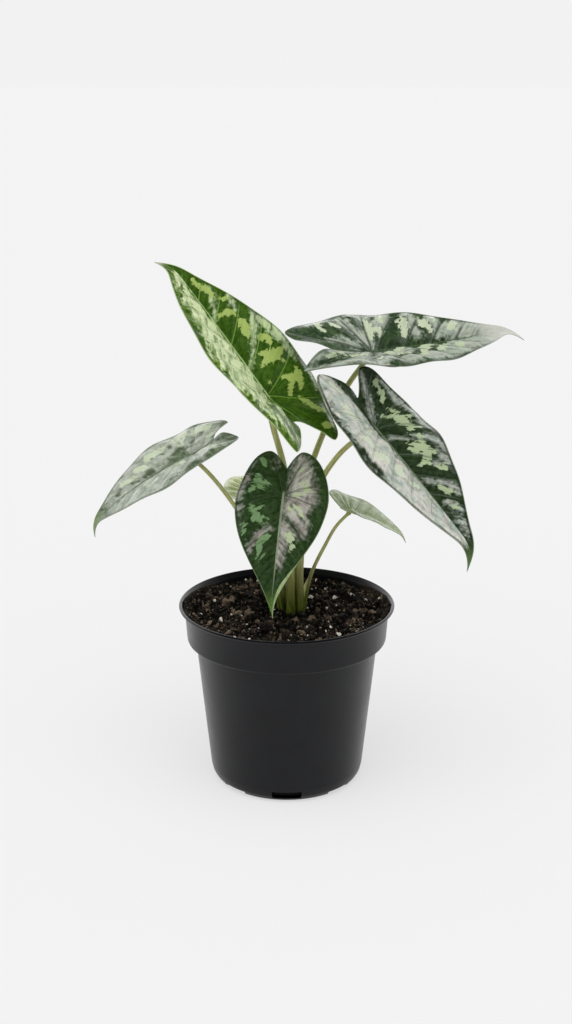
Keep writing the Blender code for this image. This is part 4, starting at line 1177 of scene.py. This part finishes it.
def pot_inside():
    return [
        (BAND_TOP[0] - POT_WALL, BAND_TOP[1]),
        (BAND_BOTTOM[0] - POT_WALL, BAND_BOTTOM[1] + 0.6),
        (BODY_TOP[0] - POT_WALL, BODY_TOP[1] + 0.8),
        (BODY_BOTTOM[0] - POT_WALL, BODY_BOTTOM[1] + 0.3),
        (BODY_BOTTOM[0] - 2 * POT_WALL, FLOOR_THICKNESS + 2.4),
        (FOOT_RADIUS - 0.4, FLOOR_THICKNESS),
    ]


def bevelled(profile, size):
    """The profile with each inner corner cut back by a small size on both sides, twice."""
    for cut_back in (size, size * 0.4):
        softer = [profile[0]]
        for before, corner, after in zip(profile, profile[1:], profile[2:]):
            for other in (before, after):
                reach = math.dist(corner, other)
                share = min(cut_back, 0.33 * reach) / reach
                softer.append(tuple(a + (b - a) * share for a, b in zip(corner, other)))
        profile = softer + [profile[-1]]
    return profile


def lathe(profile, sides):
    """A solid turned about Z from (radius, height) pairs, which run up the outside and back in."""
    points, faces, rings = [], [], []
    for radius, height in profile:
        count = 1 if radius == 0 else sides
        rings.append([len(points) + i for i in range(count)])
        for i in range(count):
            angle = 2 * math.pi * (i + 0.5) / sides
            points.append((radius * math.cos(angle), radius * math.sin(angle), height))
    for lower, upper in zip(rings, rings[1:]):
        for i in range(sides):
            following = (i + 1) % sides
            if len(lower) == 1:
                faces.append((lower[0], upper[following], upper[i]))
            elif len(upper) == 1:
                faces.append((lower[i], lower[following], upper[0]))
            else:
                faces.append((lower[i], lower[following], upper[following], upper[i]))
    return points, faces


def drain_cutters():
    """Wedges that cut the slots in the pot's foot."""
    slope = math.tan(math.radians(DRAIN_SLOT_ANGLE / 2))
    inner, outer = DRAIN_SLOT_INNER_RADIUS, LIP_RADIUS
    narrow, wide = inner * slope, outer * slope
    corners = ((inner, -narrow), (outer, -wide), (outer, wide), (inner, narrow))
    points, faces = [], []
    for index in range(DRAIN_SLOTS):
        turn = Matrix.Rotation(2 * math.pi * index / DRAIN_SLOTS - math.pi / 2, 3, "Z")
        base = len(points)
        for z in DRAIN_SLOT_LEVELS[index % 2]:
            points += [tuple(turn @ Vector((x, y, z))) for x, y in corners]
        for face in ((0, 3, 2, 1), (4, 5, 6, 7), (0, 1, 5, 4), (1, 2, 6, 5), (2, 3, 7, 6), (3, 0, 4, 7)):
            faces.append(tuple(base + corner for corner in face))
    return add_mesh("drain_cutters", points, faces, [], smooth=False)


def add_pot(material):
    foot = [(0.0, 0.0), (FOOT_RADIUS, 0.0), *FOOT_BEND]
    outside = [*foot, BODY_BOTTOM, BODY_TOP, STEP_BEND, BAND_BOTTOM, BAND_TOP, *LIP_BEND]
    profile = bevelled([*outside, *pot_inside(), (0.0, FLOOR_THICKNESS)], BEVEL)
    pot = add_mesh("pot_shell", *lathe(profile, POT_SIDES), [material])
    cutters = drain_cutters()
    boolean = pot.modifiers.new("drain", "BOOLEAN")
    boolean.solver = "EXACT"
    boolean.object = cutters
    cut = bpy.data.meshes.new_from_object(pot.evaluated_get(bpy.context.evaluated_depsgraph_get()))
    pot.modifiers.clear()
    pot.data = cut
    bpy.data.objects.remove(cutters)
    cut.shade_smooth()
    cut.set_sharp_from_angle(angle=math.radians(SHARP_ANGLE))
    return pot


# Soil


def banked_share(angle):
    """One where the soil is banked up over the wall's edge, and zero at the back of the pot."""
    return 1.0 - float(smoothstep(0.15, 0.85, math.sin(angle)))


def soil_height(x, y):
    """The source's soil, with crumbs, clods and cracks over it."""
    radius = math.hypot(x, y)
    mound = SOIL_MOUND * (1 - float(smoothstep(*SOIL_MOUND_RADII, radius)))
    lumps = noise.noise(Vector((x, y, 3.0)) / SOIL_LUMP_SIZE)
    crumbs = noise.noise(Vector((x, y, 9.0)) / SOIL_CRUMB_SIZE)
    clods = 1 - 2.0 * noise.voronoi(Vector((x, y, 1.0)) / CLOD_SIZE)[0][0]
    small = 1 - 2.0 * noise.voronoi(Vector((x, y, 5.0)) / SMALL_CLOD_SIZE)[0][0]
    rough = noise.fractal(Vector((x, y, 2.0)) / ROUGH_SIZE, 0.7, 2.1, 5)
    pit = PIT_DEPTH * math.exp(-(((radius - PIT_RADIUS) / PIT_WIDTH) ** 2))
    banked = banked_share(math.atan2(y, x))
    bank = SOIL_BANK * float(smoothstep(SOIL_BANK_START, SOIL_REACH, radius)) * banked
    plain = SOIL_EDGE_HEIGHT + mound + SOIL_LUMP * (lumps + 0.5 * crumbs) - pit + bank
    lip = BAND_TOP[1] + SOIL_OVER_LIP + SOIL_SLOPE_OVER_LIP * (radius - BAND_TOP[0] + POT_WALL)
    height = plain + CLOD_HEIGHT * clods + SMALL_CLOD_HEIGHT * small + ROUGH_HEIGHT * rough
    return max(height, lip) if radius > BAND_TOP[0] - POT_WALL else height


def add_soil_places(made, points):
    """Distance from the pot's middle, and height over the plain soil, of each point."""
    places = np.array(points)
    radius = np.hypot(places[:, 0], places[:, 1])
    add_value(made, "radius", radius)
    mound = SOIL_MOUND * (1 - smoothstep(*SOIL_MOUND_RADII, radius))
    add_value(made, "rise", places[:, 2] - SOIL_EDGE_HEIGHT - mound)


def add_soil(material):
    """A closed body of soil, with a fine top."""
    inside = np.array(pot_inside()[::-1])
    edge = float(np.interp(SOIL_EDGE_HEIGHT, inside[:, 1], inside[:, 0])) - GAP
    points = [(0.0, 0.0, soil_height(0.0, 0.0))]
    for ring in range(1, SOIL_RINGS + 1):
        for side in range(SOIL_SIDES):
            angle = 2 * math.pi * (side + 0.5 * (ring % 2)) / SOIL_SIDES
            radius = (edge + (SOIL_REACH - edge) * banked_share(angle)) * (ring / SOIL_RINGS) ** 0.85
            x, y = radius * math.cos(angle), radius * math.sin(angle)
            points.append((x, y, soil_height(x, y)))
    below = [(radius - GAP, height) for radius, height in pot_inside() if height < SOIL_SHOULDER]
    foot = (below[-1][0] - GAP, FLOOR_THICKNESS + GAP)
    walls = [(edge, BAND_TOP[1]), (edge, SOIL_SHOULDER), *below[:-1], foot]
    rim_heights = [point[2] for point in points[-SOIL_SIDES:]]
    for radius, height in walls:
        for side in range(SOIL_SIDES):
            angle = 2 * math.pi * (side + 0.5 * (SOIL_RINGS % 2)) / SOIL_SIDES
            x, y = radius * math.cos(angle), radius * math.sin(angle)
            points.append((x, y, min(height, rim_heights[side] - 0.3)))
    points.append((0.0, 0.0, FLOOR_THICKNESS + GAP))
    faces = [(0, 1 + side, 1 + (side + 1) % SOIL_SIDES) for side in range(SOIL_SIDES)]
    faces += [(a, d, c, b) for a, b, c, d in ring_faces(1, SOIL_RINGS + len(walls), SOIL_SIDES)]
    last = len(points) - 1 - SOIL_SIDES
    faces += [(last + (side + 1) % SOIL_SIDES, last + side, len(points) - 1) for side in range(SOIL_SIDES)]
    made = add_mesh("soil_body", points, faces, [material])
    add_soil_places(made, points)
    return made


def grain(source, size, finer, roughness, stretch):
    """Points and faces of a rough grain about its own centre."""
    ball = bmesh.new()
    bmesh.ops.create_icosphere(ball, subdivisions=2 if finer else 1, radius=1.0)
    shift = Vector([source.uniform(0, 50) for _ in range(3)])
    shape = Vector([source.uniform(*GRAIN_PROPORTIONS) * stretch[axis] * size for axis in range(3)])
    points = []
    for vertex in ball.verts:
        coarse = noise.noise(vertex.co * 1.4 + shift)
        fine = noise.noise(vertex.co * 3.7 + shift)
        bulge = 1 + roughness * (coarse + 0.4 * fine)
        points.append(Vector([vertex.co[axis] * shape[axis] * bulge for axis in range(3)]))
    faces = [tuple(vertex.index for vertex in face.verts) for face in ball.faces]
    ball.free()
    return points, faces


def random_place(source, size):
    angle = source.uniform(0, 2 * math.pi)
    radius = (SOIL_SPREAD + SOIL_BANKED_SPREAD * banked_share(angle) - size) * math.sqrt(source.random())
    return radius * math.cos(angle), radius * math.sin(angle)


def random_turn(source):
    axis = Vector([source.uniform(-1, 1) for _ in range(3)]).normalized()
    return Matrix.Rotation(source.uniform(0, 2 * math.pi), 3, axis)


def scatter(name, material, seed, count, sizes, stretch, finer=True, roughness=0.6, lift=0.2):
    """Grains strewn over the soil by a seeded rule, as one piece."""
    source = random.Random(seed)
    points, faces, tones = [], [], []
    for _ in range(count):
        size = sizes[0] + (sizes[1] - sizes[0]) * source.random() ** 2.2
        found, found_faces = grain(source, size, finer, roughness, stretch)
        x, y = random_place(source, max(point.length for point in found))
        turn = random_turn(source)
        centre = Vector((x, y, soil_height(x, y) + size * lift))
        base = len(points)
        points += [tuple(turn @ point + centre) for point in found]
        faces += [tuple(corner + base for corner in face) for face in found_faces]
        tones += [source.random()] * len(found)
    made = add_mesh(name, points, faces, [material], smooth=False)
    add_value(made, "tone", tones)
    add_soil_places(made, points)
    return made


def add_fibres(material):
    """Thin bits of root and peat lying on the soil."""
    source = random.Random(FIBRE_SEED)
    points, faces = [], []
    for _ in range(FIBRES):
        x, y = random_place(source, 1.0)
        heading, bend = source.uniform(0, 2 * math.pi), source.uniform(-0.35, 0.35)
        width, length = source.uniform(*FIBRE_WIDTHS), source.uniform(*FIBRE_LENGTHS)
        base = len(points)
        for joint in range(FIBRE_JOINTS + 1):
            if math.hypot(x, y) > FIBRE_LIMIT:
                heading += math.pi / 2
            z = soil_height(x, y) + FIBRE_LIFT + FIBRE_ARCH * math.sin(math.pi * joint / FIBRE_JOINTS)
            thin = width * (1 - 0.8 * joint / FIBRE_JOINTS)
            for corner in range(3):
                angle = 2 * math.pi * corner / 3
                aside = Vector((-math.sin(heading), math.cos(heading), 0.0)) * math.cos(angle) * thin
                points.append((x + aside.x, y + aside.y, z + math.sin(angle) * thin))
            heading += bend + source.uniform(-0.2, 0.2)
            x += math.cos(heading) * length / FIBRE_JOINTS
            y += math.sin(heading) * length / FIBRE_JOINTS
        faces += ring_faces(base, FIBRE_JOINTS + 1, 3)
        faces += [(base + 2, base + 1, base), tuple(range(len(points) - 3, len(points)))]
    return add_mesh("fibres", points, faces, [material])


# Studio


def add_floor():
    """A pale diffuse floor, lit softly from below as a light table is."""
    nodes = Nodes("studio_floor")
    diffuse = nodes.node("ShaderNodeBsdfDiffuse", {"Color": 3 * (FLOOR_ALBEDO,)})
    glow = nodes.node("ShaderNodeEmission", {"Strength": FLOOR_GLOW})
    both_shaders = nodes.node("ShaderNodeAddShader", {0: diffuse, 1: glow})
    nodes.put(nodes.tree.nodes["Material Output"].inputs["Surface"], both_shaders)
    far = FLOOR_REACH
    corners = [(-far, -far, 0.0), (far, -far, 0.0), (far, far, 0.0), (-far, far, 0.0)]
    add_mesh("studio_floor", corners, [(0, 1, 2, 3)], [nodes.material], smooth=False)


def add_world():
    """Even light for matt surfaces, and for gloss a room that is bright only low behind the plant."""
    world = bpy.data.worlds.new("studio")
    nodes = Nodes(world.name, world)
    direction = nodes.node("ShaderNodeTexCoord", {}, "Generated")
    behind = nodes.step(nodes.node("ShaderNodeSeparateXYZ", {0: direction}, "Y"), -0.35, 0.5)
    low = nodes.step(nodes.node("ShaderNodeSeparateXYZ", {0: direction}, "Z"), 0.4, 0.75, 1.0, 0.0)
    bright = nodes.step(nodes.times(behind, low), 0.0, 1.0, WORLD_DIM, WORLD_BRIGHT)
    shown = nodes.node("ShaderNodeBackground", {"Color": (1.0, 1.0, 1.0), "Strength": AMBIENT})
    for ray, shade, strength in (("Is Glossy Ray", 1.0, bright), ("Is Camera Ray", BACKGROUND, 1.0)):
        seen = nodes.node("ShaderNodeBackground", {"Color": 3 * (shade,), "Strength": strength})
        is_ray = nodes.node("ShaderNodeLightPath", {}, ray)
        shown = nodes.node("ShaderNodeMixShader", {0: is_ray, 1: shown, 2: seen})
    nodes.put(nodes.tree.nodes["World Output"].inputs["Surface"], shown)
    bpy.context.scene.world = world


def add_sun(name, azimuth, elevation, strength, angle):
    """A soft lamp. Azimuth 0 is the front, and 90 the right of the picture."""
    light = bpy.data.lights.new(name, "SUN")
    light.energy = strength
    light.angle = math.radians(angle)
    lamp = bpy.data.objects.new(name, light)
    bpy.context.scene.collection.objects.link(lamp)
    azimuth, elevation = math.radians(azimuth), math.radians(elevation)
    level = math.cos(elevation)
    towards = Vector((level * math.sin(azimuth), -level * math.cos(azimuth), math.sin(elevation)))
    lamp.rotation_euler = towards.to_track_quat("Z", "Y").to_euler()
    lamp.visible_glossy = False


def add_camera():
    data = bpy.data.cameras.new("camera")
    data.lens, data.sensor_width = CAMERA_LENS, SENSOR_WIDTH
    camera = bpy.data.objects.new("camera", data)
    camera.location = CAMERA_PLACE
    camera.rotation_euler = (math.radians(CAMERA_TILT), 0.0, 0.0)
    bpy.context.scene.collection.objects.link(camera)
    bpy.context.scene.camera = camera


def main():
    bpy.context.scene.view_settings.view_transform = "Standard"
    add_camera()
    add_world()
    add_floor()
    for name, sun in SUNS.items():
        add_sun(name, **sun)

    stalk_finish = stalk_material()
    for name, leaf in LEAVES.items():
        makers = (upper_material, lower_material, rim_material)
        finishes = [make(name, LEAF_COLOURS[name]) for make in makers]
        slot_name = {"a": "young_blade", "f": "small_blade", "g": "small_blade"}.get(name, "blade")
        finish_piece(add_leaf(name, leaf, finishes), slot_name, f"blade_{name}")
        finish_piece(add_stalk(name, leaf, stalk_finish), "stalk", f"petiole_{name}")

    finish_piece(add_pot(pot_material()), "pot", "pot")
    finish_piece(add_soil(soil_material()), "soil", "soil")
    crumbs = crumb_material()
    for name, rule in GRAINS.items():
        material = perlite_material() if name == "perlite" else crumbs
        finish_piece(scatter(name, material, **rule), "soil")
    finish_piece(add_fibres(fibre_material()), "soil")

    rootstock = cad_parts["rootstock"]
    for slot in rootstock.material_slots:
        slot.material = root_material()


main()
